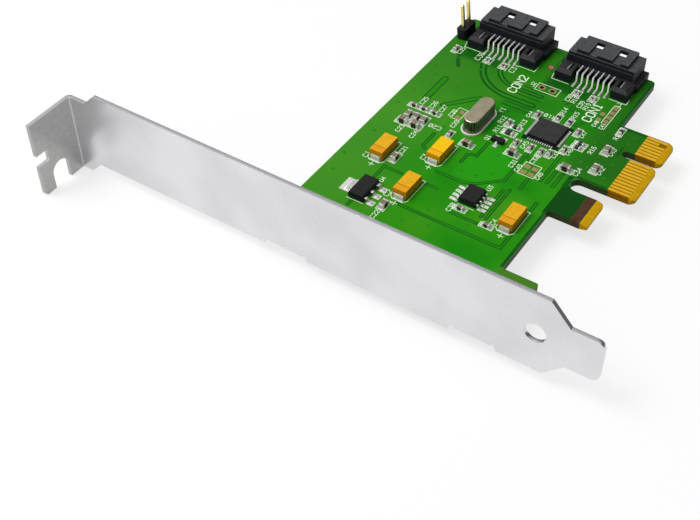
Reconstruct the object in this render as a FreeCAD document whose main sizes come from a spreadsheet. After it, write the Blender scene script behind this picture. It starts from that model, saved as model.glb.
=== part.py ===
import FreeCAD, Part
import operator
import os
import Sketcher

# A storage controller card: one-lane card edge, slot bracket, two data sockets and
# its soldered parts. Millimetres. +X runs from the bracket's outer face along the
# card edge, +Y from the card edge's tip towards the bracket's flange, and +Z out of
# the component side. The origin is on the bracket's outer face, level with the tip
# of the card edge and with the board's component side.

SIZES = {
    # The board
    "board_thickness": 1.57,
    "board_clearance": 0.64,
    "board_right": 85.2,
    "board_top": 58.26,
    "left_shelf": 13.06,
    "right_shelf": 12.06,
    "foot_right": 16.3,
    "foot_bottom": 5.4,
    "blank_tab_left": 35.24,
    "blank_tab_width": 7.86,
    "blank_tab_tip": 4.7,
    "key_x": 59.05,
    "key_width": 1.9,
    "key_top": 8.2,
    "left_tab_width": 11.2,
    "right_tab_width": 7.2,
    "round_slot_top": 13.05,
    "tab_corner": 1.1,
    "blank_tab_corner": 0.8,
    "board_corner": 1.0,
    "inner_corner": 0.5,
    "bevel_length": 1.3,
    "blank_bevel_length": 1.65,
    "bevel_depth": 0.45,
    # The contact fingers of the card edge
    "finger_pitch": 1.0,
    "finger_width": 0.7,
    "finger_top": 5.95,
    "finger_thickness": 0.05,
    "short_finger_start": 2.9,
    # The slot bracket
    "sheet": 0.86,
    "blade_width": 18.42,
    "blade_drop": 3.1,
    "blade_top": 105.92,
    "shoulder_y": -3.7,
    "taper_y": -7.75,
    "tongue_tip": -14.1,
    "tongue_low": 1.1,
    "tongue_width": 9.75,
    "tongue_corner": 1.6,
    "tongue_hole_y": -1.5,
    "tongue_hole_z": 6.2,
    "tongue_hole_radius": 2.15,
    "offset_drop": 2.84,
    "offset_below_top_low": 6.32,
    "offset_below_top_high": 7.82,
    "flange_length": 11.43,
    "fold_radius": 1.2,
    "screw_slot_x": 5.95,
    "screw_slot_z": -2.35,
    "screw_slot_radius": 2.3,
    "flange_notch_low": 1.7,
    "flange_notch_high": 4.6,
    "flange_notch_depth": 3.05,
    "hook_chamfer": 0.7,
    "ear_y": 10.45,
    "ear_spacing": 41.25,
    "ear_width": 7.4,
    "ear_length": 10.5,
    "ear_corner": 1.5,
    "ear_fold_radius": 0.38,
    "ear_inner_radius": 0.3,
    "relief_width": 0.85,
    "relief_height": 0.55,
    "relief_flare": 0.5,
    # The screws that hold the board to the ears
    "screw_x": 6.3,
    "screw_shank_radius": 1.4,
    "screw_point": 0.4,
    "screw_head_radius": 2.6,
    "screw_head_top_radius": 1.9,
    "screw_head_side": 0.7,
    "screw_head_height": 1.6,
    "screw_length": 2.9,
    "screw_recess_length": 2.8,
    "screw_recess_width": 0.6,
    "screw_recess_depth": 0.8,
    "screw_clearance": 0.2,
    # The data sockets
    "socket_lower_y": 23.2,
    "socket_pitch": 22.16,
    "socket_overhang": 0.35,
    "shroud_depth": 6.35,
    "shroud_half_width": 7.9,
    "shroud_high_side": 5.0,
    "shroud_low_side": 4.85,
    "top_plate_height": 5.85,
    "top_plate_half_width": 6.1,
    "top_plate_depth": 6.05,
    "wing_half_width": 9.1,
    "wing_height": 1.65,
    "lintel_depth": 0.45,
    "lintel_low": 2.7,
    "lintel_high": 4.35,
    "leg_reach": 10.85,
    "leg_outer": 8.6,
    "leg_inner": 4.75,
    "leg_chamfer": 0.75,
    "mouth_depth": 5.25,
    "mouth_low": 1.15,
    "mouth_side_wall": 0.85,
    "mouth_roof": 0.45,
    "blade_low": 2.65,
    "blade_thickness": 1.2,
    "blade_key_gap": 0.18,
    "blade_key_height": 1.15,
    "blade_key_width": 1.15,
    "blade_recess": 0.6,
    "window_upper_y": 2.25,
    "window_lower_y": -3.3,
    "window_width": 1.9,
    "window_near": 2.8,
    "window_far": 1.35,
    "channel_depth": 0.55,
    "window_roof": 0.35,
    "comb_depth": 1.3,
    "comb_width": 0.5,
    # The socket contacts and the hold-downs in the legs
    "contact_pitch": 1.27,
    "contact_width": 0.36,
    "contact_thickness": 0.25,
    "contact_toe": 11.35,
    "contact_heel": 9.75,
    "contact_tip": 1.2,
    "holddown_y": 6.4,
    "holddown_start": 9.85,
    "holddown_length": 2.7,
    "holddown_thickness": 0.35,
    "holddown_height": 2.45,
    "holddown_slot_width": 0.95,
    # The two-way pin header, which leans on its rear lower edge
    "header_x": 76.0,
    "header_y": 57.6,
    "header_pitch": 2.54,
    "header_height": 2.54,
    "header_lean": 6.0,
    "header_chamfer": 0.45,
    "header_pin": 0.64,
    "header_pin_above": 5.8,
    "header_pin_below": 2.9,
    "header_pin_taper": 0.2,
    "header_hole_shift": 0.09,
    "header_hole_radius": 0.6,
    # Plated rings, the spare pair of holes, the test point and the bare pads
    "plating": 0.05,
    "ring_width": 0.35,
    "spare_hole_x": 69.97,
    "spare_hole_y": 29.83,
    "spare_hole_pitch": 2.54,
    "spare_hole_radius": 0.5,
    "test_point_x": 77.66,
    "test_point_y": 34.08,
    "test_point_radius": 0.65,
    # The crystal
    "crystal_x": 52.0,
    "crystal_y": 38.2,
    "crystal_base_length": 10.9,
    "crystal_base_width": 4.6,
    "crystal_base_height": 0.45,
    "crystal_length": 9.9,
    "crystal_width": 3.7,
    "crystal_height": 3.4,
    "crystal_crown": 0.35,
    # The four moulded tantalum capacitors
    "tantalum_length": 6.4,
    "tantalum_width": 3.35,
    "tantalum_height": 2.15,
    "tantalum_draft": 0.14,
    "tantalum_strip": 0.12,
    "tantalum_strip_width": 2.2,
    "tantalum_strip_height": 1.05,
    "tantalum_foot": 1.3,
    # The voltage regulator
    "regulator_x": 20.25,
    "regulator_y": 46.8,
    "regulator_length": 6.5,
    "regulator_width": 3.5,
    "regulator_height": 1.6,
    "regulator_span": 7.0,
    "regulator_tab_width": 3.0,
    "regulator_lead_width": 0.72,
    "regulator_lead_pitch": 2.3,
    "regulator_foot": 0.9,
    # The memory chip
    "memory_x": 30.0,
    "memory_y": 27.35,
    "memory_length": 4.9,
    "memory_width": 3.9,
    "memory_height": 1.6,
    "memory_span": 6.0,
    "memory_lead_width": 0.42,
    "memory_lead_pitch": 1.27,
    "memory_foot": 0.6,
    # The transistor
    "transistor_x": 48.3,
    "transistor_y": 31.55,
    "transistor_length": 2.9,
    "transistor_width": 1.3,
    "transistor_height": 1.0,
    "transistor_span": 2.4,
    "transistor_lead_width": 0.4,
    "transistor_lead_pitch": 1.9,
    "transistor_foot": 0.35,
    # Bent leads, and the moulded bodies that they carry
    "lead_thickness": 0.2,
    "body_standoff": 0.1,
    "body_draft": 0.16,
    # The flat controller chip
    "controller_x": 56.45,
    "controller_y": 24.05,
    "controller_side": 6.4,
    "controller_height": 0.9,
    "controller_lead_pitch": 0.5,
    "controller_lead_width": 0.26,
    "controller_lead_reach": 0.9,
    "controller_lead_height": 0.2,
    # The cases of the chip parts, and how their ends wrap them
    "large_length": 2.0,
    "large_width": 1.25,
    "large_height": 0.9,
    "tall_height": 1.2,
    "middle_length": 1.6,
    "middle_width": 0.8,
    "middle_height": 0.75,
    "small_length": 1.05,
    "small_width": 0.5,
    "small_height": 0.45,
    "resistor_height": 0.5,
    "end_length": 0.4,
    "end_wrap": 0.03,
}

FINGERS_LEFT_OF_KEY = 11
FINGERS_RIGHT_OF_KEY = 7
PITCHES_ACROSS_KEY = 3
SOCKET_CONTACTS = 7
HEADER_PINS = 2
MEMORY_LEADS_PER_SIDE = 4
CONTROLLER_LEADS_PER_SIDE = 12

# Centres of the tantalum capacitors
TANTALUM_PLACES = ((33.0, 50.15), (25.4, 39.75), (38.4, 39.7), (28.6, 17.65))

# The ceramic chip capacitors: case, centre, and the axis that each lies along
CHIP_CAPACITORS = (
    ("large", 32.3, 47.0, "X"),
    ("large", 18.9, 41.2, "X"),
    ("middle", 44.9, 41.25, "X"),
    ("tall", 43.95, 36.6, "Y"),
    ("tall", 46.45, 27.2, "Y"),
    ("tall", 43.3, 51.9, "Y"),
    ("tall", 43.3, 48.9, "Y"),
    ("large", 45.8, 52.0, "X"),
    ("large", 45.8, 50.1, "X"),
    ("large", 45.8, 48.2, "X"),
    ("middle", 49.3, 52.6, "Y"),
    ("middle", 49.3, 50.1, "Y"),
    ("middle", 49.3, 47.5, "Y"),
    ("middle", 72.3, 55.5, "X"),
    ("middle", 49.9, 28.2, "X"),
    ("middle", 50.15, 24.9, "X"),
    ("middle", 50.05, 22.5, "X"),
    ("middle", 50.7, 20.75, "X"),
    ("middle", 53.4, 18.75, "X"),
    ("middle", 60.0, 18.8, "X"),
    ("middle", 60.8, 28.8, "X"),
    ("middle", 54.95, 32.6, "X"),
    ("tall", 48.0, 15.8, "Y"),
    ("large", 51.3, 10.7, "X"),
    ("large", 57.9, 11.2, "X"),
    ("middle", 24.6, 21.2, "Y"),
    ("middle", 26.1, 28.0, "Y"),
    ("small", 72.2, 25.45, "X"),
    ("small", 72.2, 24.6, "X"),
    ("small", 72.2, 21.5, "X"),
    ("small", 72.2, 20.65, "X"),
    ("small", 72.3, 47.6, "X"),
    ("small", 72.3, 46.75, "X"),
    ("small", 72.3, 43.6, "X"),
    ("small", 72.3, 42.75, "X"),
)

# The chip resistors, listed in the same way
CHIP_RESISTORS = (
    ("large", 52.1, 31.0, "Y"),
    ("middle", 54.4, 30.65, "Y"),
    ("middle", 62.2, 24.5, "X"),
    ("middle", 62.0, 21.75, "X"),
    ("middle", 55.5, 16.8, "Y"),
    ("middle", 56.9, 16.7, "Y"),
    ("middle", 65.1, 11.3, "X"),
)

# Bare pads where nothing is fitted: centre, and length along X and along Y
BARE_PADS = (
    (42.75, 22.65, 1.2, 1.3),
    (44.6, 22.65, 1.2, 1.3),
    (42.75, 20.95, 1.2, 1.3),
    (44.6, 20.95, 1.2, 1.3),
    (50.85, 42.7, 1.1, 1.1),
    (52.8, 42.7, 1.1, 1.1),
    (66.45, 15.5, 1.2, 1.0),
    (68.25, 15.5, 1.2, 1.0),
    (70.0, 15.5, 1.2, 1.0),
    (71.75, 15.5, 1.2, 1.0),
    (66.45, 17.15, 1.2, 1.0),
    (68.6, 17.15, 1.2, 1.0),
)

OPERATIONS = {"+": operator.add, "-": operator.sub, "*": operator.mul, "/": operator.truediv}


class Size:
    """A length that knows its value and the sheet formula that it follows."""

    def __init__(self, value, formula):
        self.value = value
        self.formula = formula

    def __add__(self, other):
        return combine(self, "+", other)

    def __radd__(self, other):
        return combine(other, "+", self)

    def __sub__(self, other):
        return combine(self, "-", other)

    def __rsub__(self, other):
        return combine(other, "-", self)

    def __mul__(self, other):
        return combine(self, "*", other)

    def __rmul__(self, other):
        return combine(other, "*", self)

    def __truediv__(self, other):
        return combine(self, "/", other)

    def __neg__(self):
        return combine(0, "-", self)


def as_size(length):
    if isinstance(length, Size):
        return length
    return Size(length, f"({length})")


def combine(left, sign, right):
    left = as_size(left)
    right = as_size(right)
    value = OPERATIONS[sign](left.value, right.value)
    return Size(value, f"({left.formula} {sign} {right.formula})")


class Dimensions:
    """The driving sizes, written to the sheet and read back by name."""

    def __init__(self, sheet, table):
        for row, (name, value) in enumerate(table.items(), start=1):
            sheet.set(f"A{row}", name)
            sheet.set(f"B{row}", str(value))
            sheet.setAlias(f"B{row}", name)
            setattr(self, name, Size(value, f"{sheet.Name}.{name}"))


doc = FreeCAD.newDocument("controller_card")
sheet = doc.addObject("Spreadsheet::Sheet", "Sizes")
d = Dimensions(sheet, SIZES)
doc.recompute()

nodes = {}


def keep(name, piece):
    """Enter a piece as a node of the card."""
    piece.Label = name
    nodes[name] = piece
    return piece


def bind(thing, prop, length):
    thing.setExpression(prop, as_size(length).formula)


def place(thing, x, y):
    """Set a piece down on the board at its centre or corner."""
    bind(thing, "Placement.Base.x", x)
    bind(thing, "Placement.Base.y", y)


def box(name, low, lengths):
    block = doc.addObject("Part::Box", name)
    for prop, length in zip(("Length", "Width", "Height"), lengths):
        bind(block, prop, length)
    for axis, length in zip("xyz", low):
        bind(block, f"Placement.Base.{axis}", length)
    return block


def group(name, pieces):
    """Make one node of like pieces that stay separate solids."""
    compound = doc.addObject("Part::Compound", name)
    compound.Links = pieces
    return keep(name, compound)


def new_body(name):
    body = doc.addObject("PartDesign::Body", name)
    body.AllowCompound = True
    return keep(name, body)


def origin_feature(body, role):
    return next(item for item in body.Origin.OriginFeatures if item.Role == role)


def new_sketch(body, name, plane, offset=0):
    """Start a sketch on a plane of the body, shifted along the plane's normal."""
    sketch = body.newObject("Sketcher::SketchObject", f"{body.Name}_{name}")
    sketch.AttachmentSupport = [(origin_feature(body, f"{plane}_Plane"), "")]
    sketch.MapMode = "FlatFace"
    bind(sketch, "AttachmentOffset.Base.z", offset)
    return sketch


def hold(sketch, label, kind, length, *geometry):
    """Add a named dimension to the sketch and tie it to the sheet."""
    length = as_size(length)
    index = sketch.addConstraint(Sketcher.Constraint(kind, *geometry, length.value))
    sketch.renameConstraint(index, label)
    sketch.setExpression(f"Constraints.{label}", length.formula)


def hold_point(sketch, label, geometry, vertex, u, v):
    hold(sketch, f"{label}_u", "DistanceX", u, -1, 1, geometry, vertex)
    hold(sketch, f"{label}_v", "DistanceY", v, -1, 1, geometry, vertex)


def draw_outline(sketch, label, corners):
    """Draw a closed outline of straight edges through the corners."""
    points = [FreeCAD.Vector(as_size(u).value, as_size(v).value, 0) for u, v in corners]
    first = sketch.GeometryCount
    count = len(points)
    for index in range(count):
        edge = Part.LineSegment(points[index], points[(index + 1) % count])
        sketch.addGeometry(edge, False)
    for index in range(count):
        following = first + (index + 1) % count
        sketch.addConstraint(Sketcher.Constraint("Coincident", first + index, 2, following, 1))
    for index, (u, v) in enumerate(corners):
        hold_point(sketch, f"{label}{index}", first + index, 1, u, v)


def draw_rectangle(sketch, label, low_u, low_v, high_u, high_v):
    draw_outline(sketch, label, (
        (low_u, low_v), (high_u, low_v), (high_u, high_v), (low_u, high_v),
    ))


def draw_circle(sketch, label, u, v, radius):
    centre = FreeCAD.Vector(as_size(u).value, as_size(v).value, 0)
    circle = Part.Circle(centre, FreeCAD.Vector(0, 0, 1), as_size(radius).value)
    index = sketch.addGeometry(circle, False)
    hold_point(sketch, label, index, 3, u, v)
    hold(sketch, f"{label}_radius", "Radius", radius, index)


def draw_stadium(sketch, label, length, width):
    """Draw a stadium about the sketch's origin, its long axis along X."""
    up = FreeCAD.Vector(0, 0, 1)
    half_turn = 3.14159265
    radius = width.value / 2
    straight = (length - width).value / 2
    first = sketch.GeometryCount
    for centre, start in ((straight, -half_turn / 2), (-straight, half_turn / 2)):
        end_circle = Part.Circle(FreeCAD.Vector(centre, 0, 0), up, radius)
        sketch.addGeometry(Part.ArcOfCircle(end_circle, start, start + half_turn), False)
    for side in (radius, -radius):
        start = FreeCAD.Vector(straight if side > 0 else -straight, side, 0)
        sketch.addGeometry(Part.LineSegment(start, FreeCAD.Vector(-start.x, side, 0)), False)
    right, left, top, bottom = range(first, first + 4)
    for one, other in ((right, top), (top, left), (left, bottom), (bottom, right)):
        sketch.addConstraint(Sketcher.Constraint("Tangent", one, 2, other, 1))
    hold_point(sketch, f"{label}_right", right, 3, (length - width) / 2, 0)
    hold_point(sketch, f"{label}_left", left, 3, (width - length) / 2, 0)
    hold(sketch, f"{label}_radius", "Radius", width / 2, right)


def add_feature(body, kind, name):
    return body.newObject(f"PartDesign::{kind}", f"{body.Name}_{name}")


def finish(body, feature):
    body.Tip = feature
    doc.recompute()
    if not feature.isValid():
        raise ValueError(f"{feature.Name} failed to build")
    return feature


def pad(body, name, sketch, length, back=False):
    feature = add_feature(body, "Pad", name)
    feature.Profile = sketch
    feature.Reversed = back
    bind(feature, "Length", length)
    return finish(body, feature)


def pocket(body, name, sketch, length, back=False):
    """Cut the sketch's profile out of the body, and make sure that it cuts."""
    before = body.Shape.Volume
    feature = add_feature(body, "Pocket", name)
    feature.Profile = sketch
    feature.Reversed = back
    bind(feature, "Length", length)
    finish(body, feature)
    if not body.Shape.Volume < before - 1e-6:
        raise ValueError(f"{name} cuts nothing from {body.Label}")
    return feature


def repeat(body, name, originals, axis, spacing, count):
    """Repeat features along one of the body's axes."""
    if count == 1:
        return originals[-1]
    pattern = add_feature(body, "LinearPattern", name)
    pattern.Originals = originals
    pattern.Direction = (origin_feature(body, f"{axis}_Axis"), [""])
    bind(pattern, "Length", spacing * (count - 1))
    pattern.Occurrences = count
    return finish(body, pattern)


def mirror(body, name, originals, plane):
    mirrored = add_feature(body, "Mirrored", name)
    mirrored.Originals = originals
    mirrored.MirrorPlane = (origin_feature(body, f"{plane}_Plane"), [""])
    return finish(body, mirrored)


def edges_through(shape, axis, spots):
    """Name the straight edges that run along an axis through the spots."""
    across = [index for index in range(3) if index != "XYZ".index(axis)]
    names = []
    for number, edge in enumerate(shape.Edges, start=1):
        ends = [vertex.Point for vertex in edge.Vertexes]
        for spot in spots:
            wanted = [as_size(length).value for length in spot]
            hits = [
                abs(end[index] - value) < 1e-4
                for end in ends
                for index, value in zip(across, wanted)
            ]
            if len(ends) == 2 and all(hits):
                names.append(f"Edge{number}")
    return names


def edges_at(shape, levels):
    """Name the edges that lie flat at the given heights."""
    names = []
    for number, edge in enumerate(shape.Edges, start=1):
        for level in levels:
            if all(abs(vertex.Z - level.value) < 1e-6 for vertex in edge.Vertexes):
                names.append(f"Edge{number}")
    return names


def dress_edges(body, kind, name, picks, length):
    """Round or bevel the picked edges of the body's last feature."""
    base = body.Tip
    names = []
    for axis, spots in picks:
        names += edges_through(base.Shape, axis, spots)
    if not names:
        raise ValueError(f"{name} finds no edge on {body.Label}")
    feature = add_feature(body, kind, name)
    feature.Base = (base, names)
    bind(feature, "Radius" if kind == "Fillet" else "Size", length)
    return finish(body, feature)


# Places that several pieces share
board_left = d.sheet + d.board_clearance
blank_tab_right = d.blank_tab_left + d.blank_tab_width
key_left = d.key_x - d.key_width / 2
key_right = d.key_x + d.key_width / 2
left_tab_edge = key_left - d.left_tab_width
right_tab_edge = key_right + d.right_tab_width
ear_places = (d.ear_y, d.ear_y + d.ear_spacing)
spare_hole_places = (d.spare_hole_y, d.spare_hole_y + d.spare_hole_pitch)
header_hole_y = d.header_y - d.header_pitch / 2 - d.header_hole_shift
header_hole_places = [
    d.header_x + d.header_pitch * (index + 0.5) for index in range(HEADER_PINS)
]
socket_places = (d.socket_lower_y, d.socket_lower_y + d.socket_pitch)
contact_row_half = d.contact_pitch * ((SOCKET_CONTACTS - 1) / 2) + d.contact_width / 2
channel_floor = d.top_plate_height - d.channel_depth


def build_board():
    """One laminate: foot, blank tab, round-ended slot and the keyed card edge."""
    body = new_body("circuit_board")
    slot_radius = (left_tab_edge - blank_tab_right) / 2
    slot_spring = d.round_slot_top - slot_radius
    key_spring = d.key_top - d.key_width / 2

    outline = new_sketch(body, "outline", "XY")
    draw_outline(outline, "corner", (
        (board_left, d.board_top),
        (board_left, d.foot_bottom),
        (d.foot_right, d.foot_bottom),
        (d.foot_right, d.left_shelf),
        (d.blank_tab_left, d.left_shelf),
        (d.blank_tab_left, d.blank_tab_tip),
        (blank_tab_right, d.blank_tab_tip),
        (blank_tab_right, slot_spring),
        (left_tab_edge, slot_spring),
        (left_tab_edge, 0),
        (key_left, 0),
        (key_left, key_spring),
        (key_right, key_spring),
        (key_right, 0),
        (right_tab_edge, 0),
        (right_tab_edge, d.right_shelf),
        (d.board_right, d.right_shelf),
        (d.board_right, d.board_top),
    ))
    pad(body, "laminate", outline, d.board_thickness, back=True)

    ends = new_sketch(body, "round_ends", "XY")
    draw_circle(ends, "slot", blank_tab_right + slot_radius, slot_spring, slot_radius)
    draw_circle(ends, "key", d.key_x, key_spring, d.key_width / 2)
    pocket(body, "slot_and_key_ends", ends, d.board_thickness)

    holes = new_sketch(body, "hole_profile", "XY")
    for index, y in enumerate(ear_places):
        draw_circle(holes, f"screw{index}", d.screw_x, y, d.screw_shank_radius + d.screw_clearance)
    for index, x in enumerate(header_hole_places):
        draw_circle(holes, f"header{index}", x, header_hole_y, d.header_hole_radius)
    for index, y in enumerate(spare_hole_places):
        draw_circle(holes, f"spare{index}", d.spare_hole_x, y, d.spare_hole_radius)
    pocket(body, "holes", holes, d.board_thickness)

    dress_edges(body, "Fillet", "tab_corners", (("Z", (
        (left_tab_edge, 0), (key_left, 0), (key_right, 0), (right_tab_edge, 0),
    )),), d.tab_corner)
    dress_edges(body, "Fillet", "blank_tab_corner", (("Z", (
        (blank_tab_right, d.blank_tab_tip),
    )),), d.blank_tab_corner)
    dress_edges(body, "Fillet", "outer_corners", (("Z", (
        (d.board_right, d.right_shelf), (d.board_right, d.board_top), (board_left, d.board_top),
    )),), d.board_corner)
    dress_edges(body, "Fillet", "inner_corners", (("Z", (
        (board_left, d.foot_bottom), (d.foot_right, d.foot_bottom),
        (d.foot_right, d.left_shelf), (d.blank_tab_left, d.left_shelf),
        (right_tab_edge, d.right_shelf),
    )),), d.inner_corner)

    # The card edge and the blank tab are bevelled on both faces
    tab_width = right_tab_edge - left_tab_edge
    for label, tip, length, start, width in (
        ("edge", 0, d.bevel_length, left_tab_edge, tab_width),
        ("blank", d.blank_tab_tip, d.blank_bevel_length, d.blank_tab_left, d.blank_tab_width),
    ):
        for face, surface, inner in (
            ("front", 0, -d.bevel_depth),
            ("back", -d.board_thickness, d.bevel_depth - d.board_thickness),
        ):
            wedge = new_sketch(body, f"{label}_{face}_wedge", "YZ", start)
            draw_outline(wedge, "corner", ((tip, surface), (tip + length, surface), (tip, inner)))
            pocket(body, f"{label}_{face}_bevel", wedge, width, back=True)


def build_fingers(name, low, runs):
    """Gold fingers on one face, in runs of like fingers: first, count and start."""
    body = new_body(name)
    first_x = d.key_x - d.finger_pitch * (FINGERS_LEFT_OF_KEY + PITCHES_ACROSS_KEY / 2 - 1)
    for number, (first, count, start) in enumerate(runs, start=1):
        skipped = PITCHES_ACROSS_KEY - 1 if first >= FINGERS_LEFT_OF_KEY else 0
        centre = first_x + d.finger_pitch * (first + skipped)
        outline = new_sketch(body, f"finger_{number}_outline", "XY", low)
        draw_rectangle(
            outline, "corner",
            centre - d.finger_width / 2, start, centre + d.finger_width / 2, d.finger_top,
        )
        finger = pad(body, f"finger_{number}", outline, d.finger_thickness)
        repeat(body, f"row_{number}", [finger], "X", d.finger_pitch, count)


def build_bracket():
    """One folded sheet: blade and tongue, offset top, flange and two ears."""
    body = new_body("card_bracket")
    low = -d.blade_drop
    high = low + d.blade_width
    top_low = low - d.offset_drop
    top_high = high - d.offset_drop
    offset_start_low = d.blade_top - d.offset_below_top_low
    offset_start_high = d.blade_top - d.offset_below_top_high
    tongue_high = d.tongue_low + d.tongue_width

    blade = new_sketch(body, "blade_outline", "YZ")
    draw_outline(blade, "corner", (
        (d.tongue_tip, d.tongue_low),
        (d.taper_y, d.tongue_low),
        (d.shoulder_y, low),
        (offset_start_low, low),
        (offset_start_low + d.offset_drop, top_low),
        (d.blade_top, top_low),
        (d.blade_top, top_high),
        (offset_start_high + d.offset_drop, top_high),
        (offset_start_high, high),
        (d.shoulder_y, high),
        (d.taper_y, tongue_high),
        (d.tongue_tip, tongue_high),
    ))
    pad(body, "blade", blade, d.sheet)

    hole = new_sketch(body, "tongue_hole_profile", "YZ")
    draw_circle(hole, "hole", d.tongue_hole_y, d.tongue_hole_z, d.tongue_hole_radius)
    pocket(body, "tongue_hole", hole, d.sheet, back=True)

    # The flange folds towards -X at the top, with its screw slot, hook and notch
    end = -d.flange_length
    slot_near = -d.screw_slot_x + d.screw_slot_radius
    slot_far = -d.screw_slot_x - d.screw_slot_radius
    flange = new_sketch(body, "flange_outline", "XZ", -d.blade_top)
    draw_outline(flange, "corner", (
        (d.sheet, top_low),
        (slot_near, top_low),
        (slot_near, d.screw_slot_z),
        (slot_far, d.screw_slot_z),
        (slot_far, top_low),
        (end + d.hook_chamfer, top_low),
        (end, top_low + d.hook_chamfer),
        (end, d.flange_notch_low),
        (end + d.flange_notch_depth, d.flange_notch_low),
        (end + d.flange_notch_depth, d.flange_notch_high),
        (end, d.flange_notch_high),
        (end, top_high),
        (d.sheet, top_high),
    ))
    pad(body, "flange", flange, d.sheet)
    slot = new_sketch(body, "screw_slot_profile", "XZ", -d.blade_top)
    draw_circle(slot, "slot", -d.screw_slot_x, d.screw_slot_z, d.screw_slot_radius)
    pocket(body, "screw_slot", slot, d.sheet, back=True)

    # The ears fold towards +X under the board, each between two relief cuts
    ear_low = -d.board_thickness - d.sheet
    relief_top = ear_low + d.relief_height
    relief = new_sketch(body, "relief_profile", "YZ")
    ears = new_sketch(body, "ear_outline", "XY", -d.board_thickness)
    threads = new_sketch(body, "thread_profile", "XY", -d.board_thickness)
    ear_corners = []
    for label, y in zip(("near", "far"), ear_places):
        start = y - d.ear_width / 2
        stop = y + d.ear_width / 2
        draw_outline(relief, label, (
            (start - d.relief_width - d.relief_flare, low),
            (start - d.relief_width, relief_top),
            (start, relief_top),
            (start, ear_low),
            (stop, ear_low),
            (stop, relief_top),
            (stop + d.relief_width, relief_top),
            (stop + d.relief_width + d.relief_flare, low),
        ))
        draw_rectangle(ears, label, 0, start, d.ear_length, stop)
        draw_circle(threads, label, d.screw_x, y, d.screw_shank_radius)
        ear_corners += [(d.ear_length, start), (d.ear_length, stop)]
    pocket(body, "relief", relief, d.sheet, back=True)
    pad(body, "ears", ears, d.sheet, back=True)
    pocket(body, "thread_holes", threads, d.sheet)
    dress_edges(body, "Fillet", "ear_corners", (("Z", ear_corners),), d.ear_corner)
    dress_edges(body, "Fillet", "ear_folds_outside", (
        ("Y", ((0, ear_low),)),
    ), d.ear_fold_radius)
    dress_edges(body, "Fillet", "ear_folds_inside", (
        ("Y", ((d.sheet, -d.board_thickness),)),
    ), d.ear_inner_radius)

    dress_edges(body, "Fillet", "tongue_corners", (("X", (
        (d.tongue_tip, d.tongue_low), (d.tongue_tip, tongue_high),
    )),), d.tongue_corner)
    dress_edges(body, "Fillet", "flange_fold_outside", (
        ("Z", ((d.sheet, d.blade_top),)),
    ), d.fold_radius)
    dress_edges(body, "Fillet", "flange_fold_inside", (
        ("Z", ((0, d.blade_top - d.sheet),)),
    ), d.fold_radius - d.sheet)


def build_screws():
    """Two pan-head screws with a cross recess, through the board into the ears."""
    body = new_body("bracket_screws")
    tip = -d.screw_length
    profile = new_sketch(body, "profile", "XZ")
    draw_outline(profile, "corner", (
        (0, tip),
        (d.screw_shank_radius - d.screw_point, tip),
        (d.screw_shank_radius, tip + d.screw_point),
        (d.screw_shank_radius, 0),
        (d.screw_head_radius, 0),
        (d.screw_head_radius, d.screw_head_side),
        (d.screw_head_top_radius, d.screw_head_height),
        (0, d.screw_head_height),
    ))
    turned = add_feature(body, "Revolution", "turned")
    turned.Profile = profile
    turned.ReferenceAxis = (profile, ["V_Axis"])
    turned.Angle = 360
    finish(body, turned)
    half_length = d.screw_recess_length / 2
    half_width = d.screw_recess_width / 2
    cross = new_sketch(body, "cross_outline", "XY", d.screw_head_height)
    draw_outline(cross, "corner", (
        (half_length, -half_width), (half_length, half_width),
        (half_width, half_width), (half_width, half_length),
        (-half_width, half_length), (-half_width, half_width),
        (-half_length, half_width), (-half_length, -half_width),
        (-half_width, -half_width), (-half_width, -half_length),
        (half_width, -half_length), (half_width, -half_width),
    ))
    recess = pocket(body, "cross_recess", cross, d.screw_recess_depth)
    repeat(body, "pair", [turned, recess], "Y", d.ear_spacing, len(ear_places))
    place(body, d.screw_x, d.ear_y)


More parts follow.
